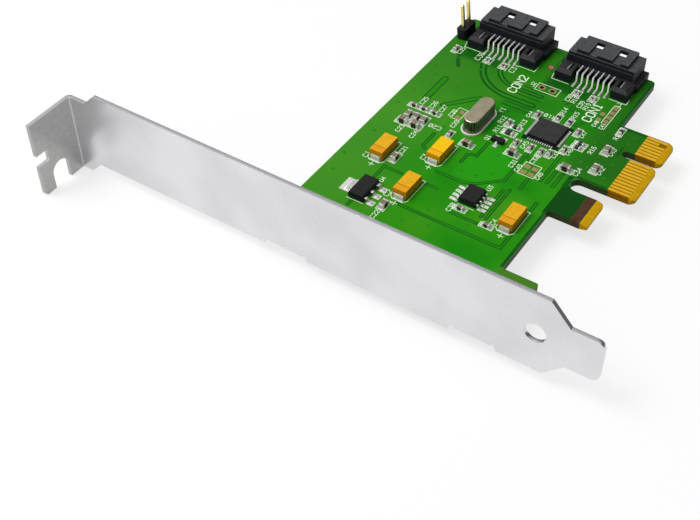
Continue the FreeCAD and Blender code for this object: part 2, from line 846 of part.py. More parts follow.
def build_socket_housing(name, y):
    """A moulded right-angle socket, its mouth a little past the board's far edge."""
    body = new_body(name)
    back = -d.shroud_depth
    half = d.shroud_half_width
    plate = d.top_plate_half_width

    shroud = new_sketch(body, "shroud_profile", "YZ", back)
    draw_outline(shroud, "corner", (
        (-half, 0), (half, 0), (half, d.shroud_low_side), (plate, d.shroud_low_side),
        (plate, d.shroud_high_side), (-half, d.shroud_high_side),
    ))
    pad(body, "shroud", shroud, d.shroud_depth)

    top_plate = new_sketch(body, "top_plate_outline", "XY", d.shroud_high_side)
    draw_rectangle(top_plate, "corner", -d.top_plate_depth, -plate, 0, plate)
    pad(body, "top_plate", top_plate, d.top_plate_height - d.shroud_high_side)

    wings = new_sketch(body, "wing_outline", "XY")
    draw_rectangle(wings, "corner", back, -d.wing_half_width, 0, d.wing_half_width)
    pad(body, "wings", wings, d.wing_height)

    lintel = new_sketch(body, "lintel_profile", "YZ", back - d.lintel_depth)
    draw_rectangle(lintel, "corner", -half, d.lintel_low, half, d.lintel_high)
    pad(body, "lintel", lintel, d.lintel_depth)

    # Each rear leg is bevelled at the front and along its outer side
    for label, sign in (("lower", -1), ("upper", 1)):
        outer = d.leg_outer * sign
        leg = new_sketch(body, f"{label}_leg_outline", "XY")
        draw_rectangle(leg, "corner", -d.leg_reach, d.leg_inner * sign, back, outer)
        pad(body, f"{label}_leg", leg, d.lintel_low)
        dress_edges(body, "Chamfer", f"{label}_leg_bevel", (
            ("Y", ((-d.leg_reach, d.lintel_low),)),
            ("X", ((outer, d.lintel_low),)),
        ), d.leg_chamfer)
        slot_wall = (d.holddown_y + d.holddown_thickness / 2) * sign
        slot = new_sketch(body, f"{label}_slot_outline", "XY")
        draw_rectangle(
            slot, "corner",
            -d.holddown_start, slot_wall - d.holddown_slot_width * sign,
            d.holddown_length - d.holddown_start, slot_wall,
        )
        pocket(body, f"{label}_slot", slot, d.lintel_low, back=True)

    # A comb keeps the contacts apart behind the shroud
    rib_y = -d.contact_pitch * (SOCKET_CONTACTS / 2)
    rib = new_sketch(body, "comb_rib_outline", "XY")
    draw_rectangle(
        rib, "corner",
        back - d.comb_depth, rib_y - d.comb_width / 2, back, rib_y + d.comb_width / 2,
    )
    first_rib = pad(body, "comb_rib", rib, d.lintel_low)
    repeat(body, "comb", [first_rib], "Y", d.contact_pitch, SOCKET_CONTACTS + 1)

    # The mouth leaves the keyed blade standing inside, short of the front
    mouth_high = channel_floor - d.window_roof
    mouth_shoulder = d.shroud_low_side - d.mouth_roof
    wide = half - d.mouth_side_wall
    narrow = plate - d.mouth_roof
    wall = (
        (-wide, d.mouth_low), (wide, d.mouth_low), (wide, mouth_shoulder),
        (narrow, mouth_shoulder), (narrow, mouth_high), (-narrow, mouth_high),
        (-narrow, mouth_shoulder), (-wide, mouth_shoulder),
    )
    key_y = contact_row_half + d.blade_key_gap
    blade_half = key_y + d.blade_key_width
    mouth = new_sketch(body, "mouth_profile", "YZ")
    draw_outline(mouth, "wall", wall)
    draw_outline(mouth, "blade", (
        (-blade_half, d.blade_low),
        (key_y, d.blade_low),
        (key_y, d.blade_low - d.blade_key_height),
        (blade_half, d.blade_low - d.blade_key_height),
        (blade_half, d.blade_low + d.blade_thickness),
        (-blade_half, d.blade_low + d.blade_thickness),
    ))
    pocket(body, "mouth", mouth, d.mouth_depth)
    mouth_front = new_sketch(body, "mouth_front_profile", "YZ")
    draw_outline(mouth_front, "wall", wall)
    pocket(body, "mouth_front", mouth_front, d.blade_recess)

    # Two latch windows, each at the end of an open channel in the top plate
    for label, centre in (("upper", d.window_upper_y), ("lower", d.window_lower_y)):
        start = centre - d.window_width / 2
        stop = centre + d.window_width / 2
        channel = new_sketch(body, f"{label}_channel_outline", "XY", channel_floor)
        draw_rectangle(channel, "corner", back, start, -d.window_far, stop)
        pocket(body, f"{label}_channel", channel, d.channel_depth, back=True)
        window = new_sketch(body, f"{label}_window_outline", "XY", channel_floor)
        draw_rectangle(window, "corner", -d.window_near, start, -d.window_far, stop)
        pocket(body, f"{label}_window", window, d.window_roof)

    # Each contact has its own passage through the back wall
    passage_y = -d.contact_pitch * ((SOCKET_CONTACTS - 1) / 2)
    passage = new_sketch(body, "passage_profile", "YZ", back - d.lintel_depth)
    draw_rectangle(
        passage, "corner",
        passage_y - d.contact_width / 2, d.blade_low - d.contact_thickness,
        passage_y + d.contact_width / 2, d.blade_low,
    )
    first_passage = pocket(
        body, "passage", passage, d.shroud_depth + d.lintel_depth - d.mouth_depth, back=True
    )
    repeat(body, "passages", [first_passage], "Y", d.contact_pitch, SOCKET_CONTACTS)
    place(body, d.board_right + d.socket_overhang, y)


def build_socket_contacts(name, y):
    """Seven strips: foot on the board, one step up, then straight under the blade."""
    body = new_body(name)
    top = d.blade_low
    low = top - d.contact_thickness
    first_y = -d.contact_pitch * ((SOCKET_CONTACTS - 1) / 2) - d.contact_width / 2
    strip = new_sketch(body, "strip_profile", "XZ", -first_y)
    draw_outline(strip, "corner", (
        (-d.contact_toe, 0),
        (-d.contact_heel + d.contact_thickness, 0),
        (-d.contact_heel + d.contact_thickness, low),
        (-d.contact_tip, low),
        (-d.contact_tip, top),
        (-d.contact_heel, top),
        (-d.contact_heel, d.contact_thickness),
        (-d.contact_toe, d.contact_thickness),
    ))
    first_contact = pad(body, "contact", strip, d.contact_width, back=True)
    repeat(body, "contacts", [first_contact], "Y", d.contact_pitch, SOCKET_CONTACTS)
    place(body, d.board_right + d.socket_overhang, y)


def build_socket_holddowns(name, y):
    """A plated blade in each rear leg, standing on the board."""
    body = new_body(name)
    outline = new_sketch(body, "blade_outline", "XY")
    draw_rectangle(
        outline, "corner",
        -d.holddown_start, d.holddown_y - d.holddown_thickness / 2,
        d.holddown_length - d.holddown_start, d.holddown_y + d.holddown_thickness / 2,
    )
    blade = pad(body, "blade", outline, d.holddown_height)
    mirror(body, "pair", [blade], "XZ")
    place(body, d.board_right + d.socket_overhang, y)


def build_header():
    """A two-way header that leans back: bevelled cells and square pointed pins."""
    pitch = d.header_pitch
    corner = d.header_chamfer
    half = d.header_pin / 2
    middle = pitch / 2

    base = new_body("pin_header_base")
    cell = new_sketch(base, "cell_outline", "XY")
    draw_outline(cell, "corner", (
        (corner, -pitch), (pitch - corner, -pitch), (pitch, corner - pitch), (pitch, -corner),
        (pitch - corner, 0), (corner, 0), (0, -corner), (0, corner - pitch),
    ))
    first_cell = pad(base, "cell", cell, d.header_height)
    repeat(base, "cells", [first_cell], "X", pitch, HEADER_PINS)
    pin_hole = new_sketch(base, "pin_hole_outline", "XY")
    draw_rectangle(pin_hole, "corner", middle - half, -middle - half, middle + half, half - middle)
    first_hole = pocket(base, "pin_hole", pin_hole, d.header_height, back=True)
    repeat(base, "pin_holes", [first_hole], "X", pitch, HEADER_PINS)

    pins = new_body("pin_header_pins")
    shaft = new_sketch(pins, "pin_outline", "XY", -d.header_pin_below)
    draw_rectangle(shaft, "corner", middle - half, -middle - half, middle + half, half - middle)
    top = d.header_height + d.header_pin_above
    first_pin = pad(pins, "pin", shaft, d.header_pin_below + top)
    row = repeat(pins, "pins", [first_pin], "X", pitch, HEADER_PINS)
    points = add_feature(pins, "Chamfer", "pin_points")
    points.Base = (row, edges_at(row.Shape, (top, -d.header_pin_below)))
    bind(points, "Size", d.header_pin_taper)
    finish(pins, points)

    for body in (base, pins):
        body.Placement = FreeCAD.Placement(
            FreeCAD.Vector(0, 0, 0), FreeCAD.Rotation(FreeCAD.Vector(-1, 0, 0), d.header_lean.value)
        )
        bind(body, "Placement.Rotation.Angle", d.header_lean)
        place(body, d.header_x, d.header_y)


def build_rings():
    """Plated rings of the holes on each face, and the filled test point."""
    body = new_body("plated_rings")
    spare = [(d.spare_hole_x, y, d.spare_hole_radius) for y in spare_hole_places]
    header = [(x, header_hole_y, d.header_hole_radius) for x in header_hole_places]
    for face, low, rings in (
        ("front", 0, spare),
        ("back", -d.board_thickness - d.plating, spare + header),
    ):
        outline = new_sketch(body, f"{face}_outline", "XY", low)
        for index, (x, y, radius) in enumerate(rings):
            draw_circle(outline, f"hole{index}", x, y, radius)
            draw_circle(outline, f"rim{index}", x, y, radius + d.ring_width)
        if face == "front":
            draw_circle(
                outline, "test_point", d.test_point_x, d.test_point_y, d.test_point_radius
            )
        pad(body, f"{face}_rings", outline, d.plating)


def build_crystal():
    """A drawn can with a rolled crown on its welded flange."""
    base = new_body("crystal_base")
    flange = new_sketch(base, "flange_outline", "XY")
    draw_stadium(flange, "flange", d.crystal_base_length, d.crystal_base_width)
    pad(base, "flange", flange, d.crystal_base_height)
    place(base, d.crystal_x, d.crystal_y)

    can = new_body("crystal_can")
    wall = new_sketch(can, "can_outline", "XY", d.crystal_base_height)
    draw_stadium(wall, "can", d.crystal_length, d.crystal_width)
    drawn = pad(can, "drawn", wall, d.crystal_height - d.crystal_base_height)
    crown = add_feature(can, "Fillet", "crown")
    crown.Base = (drawn, edges_at(drawn.Shape, (d.crystal_height,)))
    bind(crown, "Radius", d.crystal_crown)
    finish(can, crown)
    place(can, d.crystal_x, d.crystal_y)


def build_moulding(name, x, y, length, width, low, high, draft):
    """A moulded case that is widest at its parting line, half-way up."""
    body = new_body(name)
    sections = []
    for index, (level, inset) in enumerate(((low, draft), ((low + high) / 2, 0), (high, draft))):
        u = length / 2 - inset
        v = width / 2 - inset
        section = new_sketch(body, f"section_{index}", "XY", level)
        draw_rectangle(section, "corner", -u, -v, u, v)
        sections.append(section)
    moulding = add_feature(body, "AdditiveLoft", "moulding")
    moulding.Profile = sections[0]
    moulding.Sections = sections[1:]
    moulding.Ruled = True
    finish(body, moulding)
    place(body, x, y)


def build_tantalum(number, x, y):
    """A moulded capacitor with a strip folded under each end."""
    name = f"capacitor_{number}"
    build_moulding(
        f"{name}_body", x, y, d.tantalum_length, d.tantalum_width,
        d.tantalum_strip, d.tantalum_height, d.tantalum_draft,
    )
    body = new_body(f"{name}_terminals")
    end = -d.tantalum_length / 2
    strip = new_sketch(body, "strip_profile", "XZ", -d.tantalum_strip_width / 2)
    draw_outline(strip, "corner", (
        (end - d.tantalum_strip, 0),
        (end + d.tantalum_foot, 0),
        (end + d.tantalum_foot, d.tantalum_strip),
        (end, d.tantalum_strip),
        (end, d.tantalum_strip_height),
        (end - d.tantalum_strip, d.tantalum_strip_height),
    ))
    folded = pad(body, "strip", strip, d.tantalum_strip_width)
    mirror(body, "pair", [folded], "YZ")
    place(body, x, y)


def bend_lead(body, name, plane, sign, centre, width, half_body, half_span, foot, mid_height):
    """One bent lead: out of the body's side, down, and out along the board."""
    thick = d.lead_thickness
    low = mid_height - thick / 2
    heel = half_span - foot
    shoulder = half_body + (heel - half_body) / 2
    outline = [
        (half_body, low),
        (shoulder, low),
        (heel - thick / 2, 0),
        (half_span, 0),
        (half_span, thick),
        (heel + thick / 2, thick),
        (shoulder + thick, low + thick),
        (half_body, low + thick),
    ]
    # The plane's normal is +X for YZ and -Y for XZ, so its offset changes sign
    edge = centre - width / 2
    lead = new_sketch(body, f"{name}_profile", plane, edge if plane == "YZ" else -edge)
    draw_outline(lead, "corner", [(u * sign, v) for u, v in outline])
    return pad(body, name, lead, width, back=plane == "XZ")


def build_regulator():
    """A small power package: three leads on one side and a wide tab on the other."""
    build_moulding(
        "regulator_body", d.regulator_x, d.regulator_y, d.regulator_length, d.regulator_width,
        d.body_standoff, d.regulator_height, d.body_draft,
    )
    body = new_body("regulator_leads")
    middle = (d.body_standoff + d.regulator_height) / 2
    shape = (d.regulator_width / 2, d.regulator_span / 2, d.regulator_foot, middle)
    lead = bend_lead(
        body, "lead", "YZ", -1, -d.regulator_lead_pitch, d.regulator_lead_width, *shape
    )
    repeat(body, "leads", [lead], "X", d.regulator_lead_pitch, 3)
    bend_lead(body, "tab", "YZ", 1, 0, d.regulator_tab_width, *shape)
    place(body, d.regulator_x, d.regulator_y)


def build_memory():
    """An eight-lead chip, four leads on each long side."""
    build_moulding(
        "memory_chip_body", d.memory_x, d.memory_y, d.memory_length, d.memory_width,
        d.body_standoff, d.memory_height, d.body_draft,
    )
    body = new_body("memory_chip_leads")
    middle = (d.body_standoff + d.memory_height) / 2
    shape = (d.memory_width / 2, d.memory_span / 2, d.memory_foot, middle)
    first = -d.memory_lead_pitch * ((MEMORY_LEADS_PER_SIDE - 1) / 2)
    pair = [
        bend_lead(body, name, "YZ", sign, first, d.memory_lead_width, *shape)
        for name, sign in (("lower_lead", -1), ("upper_lead", 1))
    ]
    repeat(body, "leads", pair, "X", d.memory_lead_pitch, MEMORY_LEADS_PER_SIDE)
    place(body, d.memory_x, d.memory_y)


def build_transistor():
    """A three-lead package that lies along Y, one lead towards the bracket."""
    build_moulding(
        "transistor_body", d.transistor_x, d.transistor_y, d.transistor_width,
        d.transistor_length, d.body_standoff, d.transistor_height, d.body_draft / 2,
    )
    body = new_body("transistor_leads")
    middle = (d.body_standoff + d.transistor_height) / 2
    shape = (d.transistor_width / 2, d.transistor_span / 2, d.transistor_foot, middle)
    bend_lead(body, "single_lead", "XZ", -1, 0, d.transistor_lead_width, *shape)
    for name, centre in (
        ("lower_lead", -d.transistor_lead_pitch / 2), ("upper_lead", d.transistor_lead_pitch / 2),
    ):
        bend_lead(body, name, "XZ", 1, centre, d.transistor_lead_width, *shape)
    place(body, d.transistor_x, d.transistor_y)


def build_controller():
    """The flat chip and its short leads along all four sides."""
    half = d.controller_side / 2
    chip = new_body("controller_chip_body")
    outline = new_sketch(chip, "case_outline", "XY")
    draw_rectangle(outline, "corner", -half, -half, half, half)
    pad(chip, "case", outline, d.controller_height)
    place(chip, d.controller_x, d.controller_y)

    leads = new_body("controller_chip_leads")
    first = -d.controller_lead_pitch * ((CONTROLLER_LEADS_PER_SIDE - 1) / 2)
    near = first - d.controller_lead_width / 2
    far = first + d.controller_lead_width / 2
    for axis in "XY":
        pair = []
        for label, sign in (("low", -1), ("high", 1)):
            side = half * sign
            tip = (half + d.controller_lead_reach) * sign
            lead = new_sketch(leads, f"{label}_{axis}_outline", "XY")
            if axis == "X":
                draw_rectangle(lead, "corner", near, side, far, tip)
            else:
                draw_rectangle(lead, "corner", side, near, tip, far)
            pair.append(pad(leads, f"{label}_{axis}_lead", lead, d.controller_lead_height))
        repeat(
            leads, f"{axis}_rows", pair, axis, d.controller_lead_pitch, CONTROLLER_LEADS_PER_SIDE
        )
    place(leads, d.controller_x, d.controller_y)


def chip_case(case):
    """Length, width and height of a chip part's case."""
    if case == "small":
        return d.small_length, d.small_width, d.small_height
    if case == "middle":
        return d.middle_length, d.middle_width, d.middle_height
    if case == "tall":
        return d.large_length, d.large_width, d.tall_height
    return d.large_length, d.large_width, d.large_height


def build_chip_parts(name, parts, height=None):
    """Chip parts in one group of bodies and one group of plated ends."""
    bodies = []
    ends = []
    for number, (case, x, y, axis) in enumerate(parts, start=1):
        length, width, case_height = chip_case(case)
        case_height = height or case_height
        wrap = d.end_wrap
        cap = d.end_length if case != "small" else d.end_length * 0.6
        inner = length - cap * 2
        pieces = (
            (bodies, "body", -inner / 2, inner, 0),
            (ends, "start", -length / 2, cap, wrap),
            (ends, "end", inner / 2, cap, wrap),
        )
        for kind, label, start, reach, proud in pieces:
            low = [start, -width / 2 - proud]
            lengths = [reach, width + proud * 2]
            if axis == "Y":
                low.reverse()
                lengths.reverse()
            bottom = wrap if kind is bodies else 0
            kind.append(box(
                f"{name}_{number}_{label}",
                (x + low[0], y + low[1], bottom),
                (lengths[0], lengths[1], case_height - bottom + proud),
            ))
    group(f"{name}_bodies", bodies)
    group(f"{name}_ends", ends)


def build_bare_pads():
    """Tinned pads with nothing fitted."""
    pads = []
    for number, (x, y, length, width) in enumerate(BARE_PADS, start=1):
        pads.append(box(
            f"bare_pad_{number}",
            (x - length / 2, y - width / 2, 0),
            (length, width, d.plating),
        ))
    group("bare_pads", pads)


build_board()
last_finger = FINGERS_LEFT_OF_KEY + FINGERS_RIGHT_OF_KEY - 1
build_fingers("edge_fingers_front", 0, (
    (0, FINGERS_LEFT_OF_KEY, d.bevel_length),
    (FINGERS_LEFT_OF_KEY, FINGERS_RIGHT_OF_KEY - 2, d.bevel_length),
    (last_finger - 1, 1, d.short_finger_start),
    (last_finger, 1, d.bevel_length),
))
build_fingers("edge_fingers_back", -d.board_thickness - d.finger_thickness, (
    (0, 1, d.short_finger_start),
    (1, FINGERS_LEFT_OF_KEY - 1, d.bevel_length),
    (FINGERS_LEFT_OF_KEY, FINGERS_RIGHT_OF_KEY, d.bevel_length),
))
build_bracket()
build_screws()
for number, y in enumerate(socket_places, start=1):
    build_socket_housing(f"data_socket_{number}_housing", y)
    build_socket_contacts(f"data_socket_{number}_contacts", y)
    build_socket_holddowns(f"data_socket_{number}_holddowns", y)
build_header()
build_rings()
build_crystal()
for number, (x, y) in enumerate(TANTALUM_PLACES, start=1):
    build_tantalum(number, x, y)
build_regulator()
build_memory()
build_transistor()
build_controller()
build_chip_parts("chip_capacitor", CHIP_CAPACITORS)
build_chip_parts("chip_resistor", CHIP_RESISTORS, d.resistor_height)
build_bare_pads()
doc.recompute()

for item in doc.Objects:
    if {"Invalid", "Error"} & set(item.State):
        raise ValueError(f"{item.Name} failed to build")
for name, piece in nodes.items():
    if piece.Shape.isNull() or not piece.Shape.isValid():
        raise ValueError(f"{name} is not a valid shape")

os.makedirs("parts", exist_ok=True)
for name, piece in nodes.items():
    piece.Shape.exportStep(f"parts/{name}.step")
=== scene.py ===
import math

import bpy
from mathutils import Matrix, Vector


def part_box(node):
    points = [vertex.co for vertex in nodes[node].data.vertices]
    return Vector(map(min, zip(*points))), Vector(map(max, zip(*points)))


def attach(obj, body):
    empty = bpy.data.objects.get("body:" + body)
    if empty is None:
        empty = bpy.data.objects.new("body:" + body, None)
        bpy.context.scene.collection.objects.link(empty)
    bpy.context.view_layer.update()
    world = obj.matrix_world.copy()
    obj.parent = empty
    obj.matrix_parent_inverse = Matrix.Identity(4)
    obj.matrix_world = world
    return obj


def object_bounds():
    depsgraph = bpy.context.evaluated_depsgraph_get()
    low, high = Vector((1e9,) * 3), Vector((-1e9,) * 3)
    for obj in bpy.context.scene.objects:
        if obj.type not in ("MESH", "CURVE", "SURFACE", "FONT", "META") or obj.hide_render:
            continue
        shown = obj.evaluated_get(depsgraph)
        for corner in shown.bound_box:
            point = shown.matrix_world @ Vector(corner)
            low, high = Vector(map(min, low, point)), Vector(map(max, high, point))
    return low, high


# A storage controller card dressed for its picture. Shapes are written in millimetres in
# the part's own frame: the board's component side is z = 0 and the bracket's outer face x = 0.

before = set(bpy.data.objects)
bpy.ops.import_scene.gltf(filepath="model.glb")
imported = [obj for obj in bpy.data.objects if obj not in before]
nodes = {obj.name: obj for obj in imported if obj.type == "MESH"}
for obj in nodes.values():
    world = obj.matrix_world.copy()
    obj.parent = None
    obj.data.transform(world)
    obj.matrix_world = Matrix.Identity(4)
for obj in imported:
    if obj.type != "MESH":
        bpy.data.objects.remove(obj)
cad_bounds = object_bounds()
MM = 0.001

# Levels and places on the card, used by the finishes and the printed lines
BOARD_BACK = -1.57
BLANK_TAB = (34, 44)
FINGER_TABS = (46, 68)
FOLD_Y = 104.9
SHEET_MIDDLE = 0.42
SOCKET_ROWS = (23.2, 45.36)
SOCKET_UPPER_FACES = 4.4
CAPACITOR_PLACES = ((33.0, 50.15), (25.4, 39.75), (38.4, 39.7), (28.6, 17.65))
FLAT_CHIP = (56.45, 24.05)
LEAD_BEND = 3.5
LEAD_FOOT = 3.7
CRYSTAL = (52.0, 38.2)
CRYSTAL_HALF_RUN = 3.15
CRYSTAL_RIM = 2.04
TEST_POINT = (77.66, 34.08)

# A normal rises less than the first on upright faces, and more than the second on the
# sheet's cut edges
UPRIGHT = 0.6
SHEARED = 0.7


# Colours are written as they look, from 0 to 255, and turned into scene values
def colour(red, green, blue):
    values = []
    for part in (red, green, blue):
        share = part / 255
        values.append(share / 12.92 if share <= 0.04045 else ((share + 0.055) / 1.055) ** 2.4)
    return (*values, 1.0)


class Material:
    """A principled material and short calls to add nodes to it."""

    def __init__(self, name, metallic=0.0, roughness=0.5, specular=0.5):
        self.material = bpy.data.materials.new(name)
        self.material.use_nodes = True
        self.tree = self.material.node_tree
        self.shader = self.tree.nodes["Principled BSDF"]
        self.shader.inputs["Metallic"].default_value = metallic
        self.shader.inputs["Roughness"].default_value = roughness
        self.shader.inputs["Specular IOR Level"].default_value = specular
        self.coordinates = self.tree.nodes.new("ShaderNodeTexCoord")

    def link(self, source, target):
        self.tree.links.new(source, target)

    def add(self, kind, values=None, **settings):
        node = self.tree.nodes.new(f"ShaderNode{kind}")
        for name, value in settings.items():
            setattr(node, name, value)
        for name, value in (values or {}).items():
            if isinstance(value, bpy.types.NodeSocket):
                self.link(value, node.inputs[name])
            else:
                node.inputs[name].default_value = value
        return node

    def noise(self, size, detail=3.0, stretch=(1.0, 1.0, 1.0)):
        """Noise with features about as large as the size in millimetres."""
        mapping = self.add(
            "Mapping", {"Vector": self.coordinates.outputs["Object"], "Scale": stretch}
        )
        return self.add("TexNoise", {
            "Vector": mapping.outputs["Vector"], "Scale": 1 / (size * MM), "Detail": detail,
        }).outputs["Fac"]

    def ramp(self, source, stops):
        node = self.add("ValToRGB", {"Fac": source})
        points = node.color_ramp.elements
        while len(points) < len(stops):
            points.new(0.5)
        for point, (place, tone) in zip(points, stops):
            point.position = place
            point.color = tone
        return node.outputs["Color"]

    def mix(self, factor, first, second):
        node = self.add("Mix", data_type="RGBA")
        for name, value in (("Factor_Float", factor), ("A_Color", first), ("B_Color", second)):
            socket = next(item for item in node.inputs if item.identifier == name)
            if isinstance(value, bpy.types.NodeSocket):
                self.link(value, socket)
            else:
                socket.default_value = value
        return next(item for item in node.outputs if item.identifier == "Result_Color")

    def math(self, operation, first, second=0.0):
        node = self.add("Math", operation=operation)
        for socket, value in zip(node.inputs, (first, second)):
            if isinstance(value, bpy.types.NodeSocket):
                self.link(value, socket)
            else:
                socket.default_value = value
        return node.outputs["Value"]

    def mottle(self, size, dark, pale, detail=4.0, stretch=(1.0, 1.0, 1.0)):
        """Two tones that drift into each other over the size in millimetres."""
        return self.ramp(self.noise(size, detail, stretch), ((0.3, dark), (0.7, pale)))

    def axis(self, source, name):
        node = self.add("SeparateXYZ", {"Vector": self.coordinates.outputs[source]})
        return node.outputs[name]

    def rise(self):
        return self.math("ABSOLUTE", self.axis("Normal", "Z"))

    def sides(self):
        return self.math("LESS_THAN", self.rise(), UPRIGHT)

    def offset(self, name, centre):
        """The distance along one axis from a place in millimetres."""
        return self.math("SUBTRACT", self.axis("Object", name), centre * MM)

    def within(self, value, low, high):
        above = self.math("GREATER_THAN", value, low)
        return self.math("MULTIPLY", above, self.math("LESS_THAN", value, high))

    def fade(self, value, low, high):
        """Rises smoothly from 0 at the low value to 1 at the high one."""
        node = self.add(
            "MapRange", {"Value": value, "From Min": low, "From Max": high},
            interpolation_type="SMOOTHSTEP",
        )
        return node.outputs["Result"]

    def paint(self, source):
        self.link(source, self.shader.inputs["Base Color"])

    def polish(self, source, low, high):
        node = self.add("MapRange", {"Value": source, "To Min": low, "To Max": high})
        self.link(node.outputs["Result"], self.shader.inputs["Roughness"])

    def emboss(self, source, depth):
        """Bump, with its depth in millimetres."""
        node = self.add("Bump", {"Height": source, "Distance": depth * MM, "Strength": 1.0})
        self.link(node.outputs["Normal"], self.shader.inputs["Normal"])


def speckled(name, dark, pale, size, grain, depth, rough, painted_side_tones=None, **settings):
    """A surface whose colour drifts between two tones, over a fine embossed grain.

    Where two side tones are given, the upright faces are streaked with them: painted shade on most
    parts, a painted highlight on the socket contacts and a painted reflection on the crystal's can.
    """
    made = Material(name, **settings)
    fine = made.noise(grain, 5.0)
    tone = made.mottle(size, dark, pale, 3.0)
    # The side tones are painted light on the upright faces
    if painted_side_tones:
        painted_side_streaks = made.ramp(made.noise(grain * 3, 4.0, (1, 1, 0.15)), (
            (0.32, painted_side_tones[0]), (0.68, painted_side_tones[1]),
        ))
        tone = made.mix(made.sides(), tone, painted_side_streaks)
    made.paint(tone)
    made.polish(fine, *rough)
    made.emboss(fine, depth)
    return made


def solder_mask():
    """Green lacquer over copper, with bare laminate at the edges and under the fingers."""
    made = Material("solder_mask_green", roughness=0.4, specular=0.08)
    x = made.axis("Object", "X")
    y = made.axis("Object", "Y")
    side = made.sides()

    def zone(x_low, x_high, y_low, y_high):
        return made.math(
            "MULTIPLY", made.within(x, x_low * MM, x_high * MM),
            made.within(y, y_low * MM, y_high * MM),
        )

    def ramped(value, low, high, blur):
        return made.math(
            "MULTIPLY", made.fade(value, low * MM, (low + blur) * MM),
            made.fade(value, high * MM, (high - blur) * MM),
        )

    def haze(x_low, x_high, y_low, y_high, blur):
        """A zone with soft edges."""
        return made.math(
            "MULTIPLY", ramped(x, x_low, x_high, blur), ramped(y, y_low, y_high, blur)
        )

    green = made.ramp(made.noise(14, 2.0), (
        (0.3, colour(16, 130, 0)), (0.5, colour(38, 140, 4)), (0.72, colour(66, 145, 16)),
    ))
    # Bright in the middle, paler towards the long top edge, deeper towards sockets and tabs
    green = made.mix(haze(33, 48, 24, 36, 2.5), green, colour(34, 150, 6))
    high = made.math("MULTIPLY", made.fade(y, 36 * MM, 54 * MM), 0.75)
    green = made.mix(high, green, colour(66, 140, 34))
    right = made.math("MULTIPLY", made.fade(x, 44 * MM, 74 * MM), 0.5)
    low = made.math("MULTIPLY", made.fade(y, 22 * MM, 12 * MM), made.fade(x, 40 * MM, 52 * MM))
    green = made.mix(made.math("MAXIMUM", right, low), green, colour(30, 104, 14))
    # Olive on the foot, a painted shadow of the sockets just before them, and dark on the blank tab
    green = made.mix(haze(-4, 19, -4, 14.8, 2.5), green, colour(68, 124, 30))
    green = made.mix(haze(69.5, 77, 43, 55, 2.2), green, colour(16, 92, 8))
    green = made.mix(haze(69.5, 77, 20, 34, 2.2), green, colour(16, 90, 8))
    green = made.mix(zone(*BLANK_TAB, 8.4, 14), green, colour(6, 72, 10))
    # Bare laminate, in several tones
    laminate = made.mottle(0.5, colour(120, 78, 0), colour(150, 102, 4))
    bevel = made.mottle(0.5, colour(182, 138, 0), colour(210, 166, 2))
    edge = made.mottle(1.2, colour(34, 50, 24), colour(56, 74, 34), stretch=(1, 1, 6))
    strip = made.mottle(1.0, colour(66, 44, 30), colour(88, 62, 42))
    tone = made.mix(zone(*BLANK_TAB, 0, 8.4), green, strip)
    tone = made.mix(zone(*FINGER_TABS, -1, 5.98), tone, laminate)
    tone = made.mix(side, tone, edge)
    amber = made.math("MULTIPLY", side, zone(*FINGER_TABS, -1, 5.7))
    tone = made.mix(amber, tone, laminate)
    brown = made.math("MULTIPLY", side, zone(33, 45, 0, 8.4))
    tone = made.mix(brown, tone, strip)
    tone = made.mix(zone(*BLANK_TAB, -1, 6.35), tone, bevel)
    tone = made.mix(zone(*FINGER_TABS, -1, 1.3), tone, bevel)
    made.paint(tone)
    made.polish(made.noise(6, 3.0), 0.34, 0.46)
    made.emboss(made.noise(0.45, 3.0), 0.0025)
    return made


def tantalum(name, top, painted_side_tones, band, printed, line):
    """A yellow moulding with painted shade on its sides, and a lined band printed at its first end.
    """
    made = Material(name, roughness=0.4, specular=0.16)
    along = made.axis("Generated", "X")
    tone = made.mottle(0.8, *top)
    tone = made.mix(made.math("LESS_THAN", along, band), tone, printed)
    tone = made.mix(made.within(along, band - 0.035, band), tone, line)
    # The sides take the painted shade tones
    made.paint(made.mix(made.sides(), tone, made.mottle(0.4, *painted_side_tones)))
    fine = made.noise(0.12, 4.0)
    made.polish(fine, 0.38, 0.54)
    made.emboss(fine, 0.006)
    return made


def sheet_steel():
    """Plated sheet with a fine even grain, darker on its flange as a painted reflection, and duller
    along its sheared edges, which carry a painted highlight along their inner half.
    """
    made = Material("plated_sheet_steel", metallic=1.0)
    grain = made.noise(0.5, 4.0)
    tone = made.ramp(grain, ((0.3, colour(217, 217, 219)), (0.7, colour(230, 230, 233))))
    cloud = made.ramp(made.noise(16, 2.0), (
        (0.34, colour(204, 204, 206)), (0.62, colour(228, 228, 232)),
    ))
    tone = made.mix(0.5, tone, cloud)
    # The flange's darker tone is a painted reflection
    flange = made.mottle(1.0, colour(166, 165, 164), colour(178, 177, 176))
    beyond_fold = made.math("GREATER_THAN", made.axis("Object", "Y"), FOLD_Y * MM)
    tone = made.mix(beyond_fold, tone, flange)
    sheared = made.mottle(
        0.4, colour(180, 180, 186), colour(208, 208, 213), 3.0, (1, 1, 0.3)
    )
    # Cut edges look up or down; past the sheet's middle they are paler, as the ears are: a painted
    # highlight along each edge
    painted_highlight_half = made.math("GREATER_THAN", made.axis("Object", "X"), SHEET_MIDDLE * MM)
    sheared = made.mix(painted_highlight_half, colour(216, 216, 220), sheared)
    tone = made.mix(made.math("GREATER_THAN", made.rise(), SHEARED), tone, sheared)
    made.paint(tone)
    made.polish(made.noise(5, 3.0), 0.26, 0.34)
    made.emboss(grain, 0.0004)
    return made


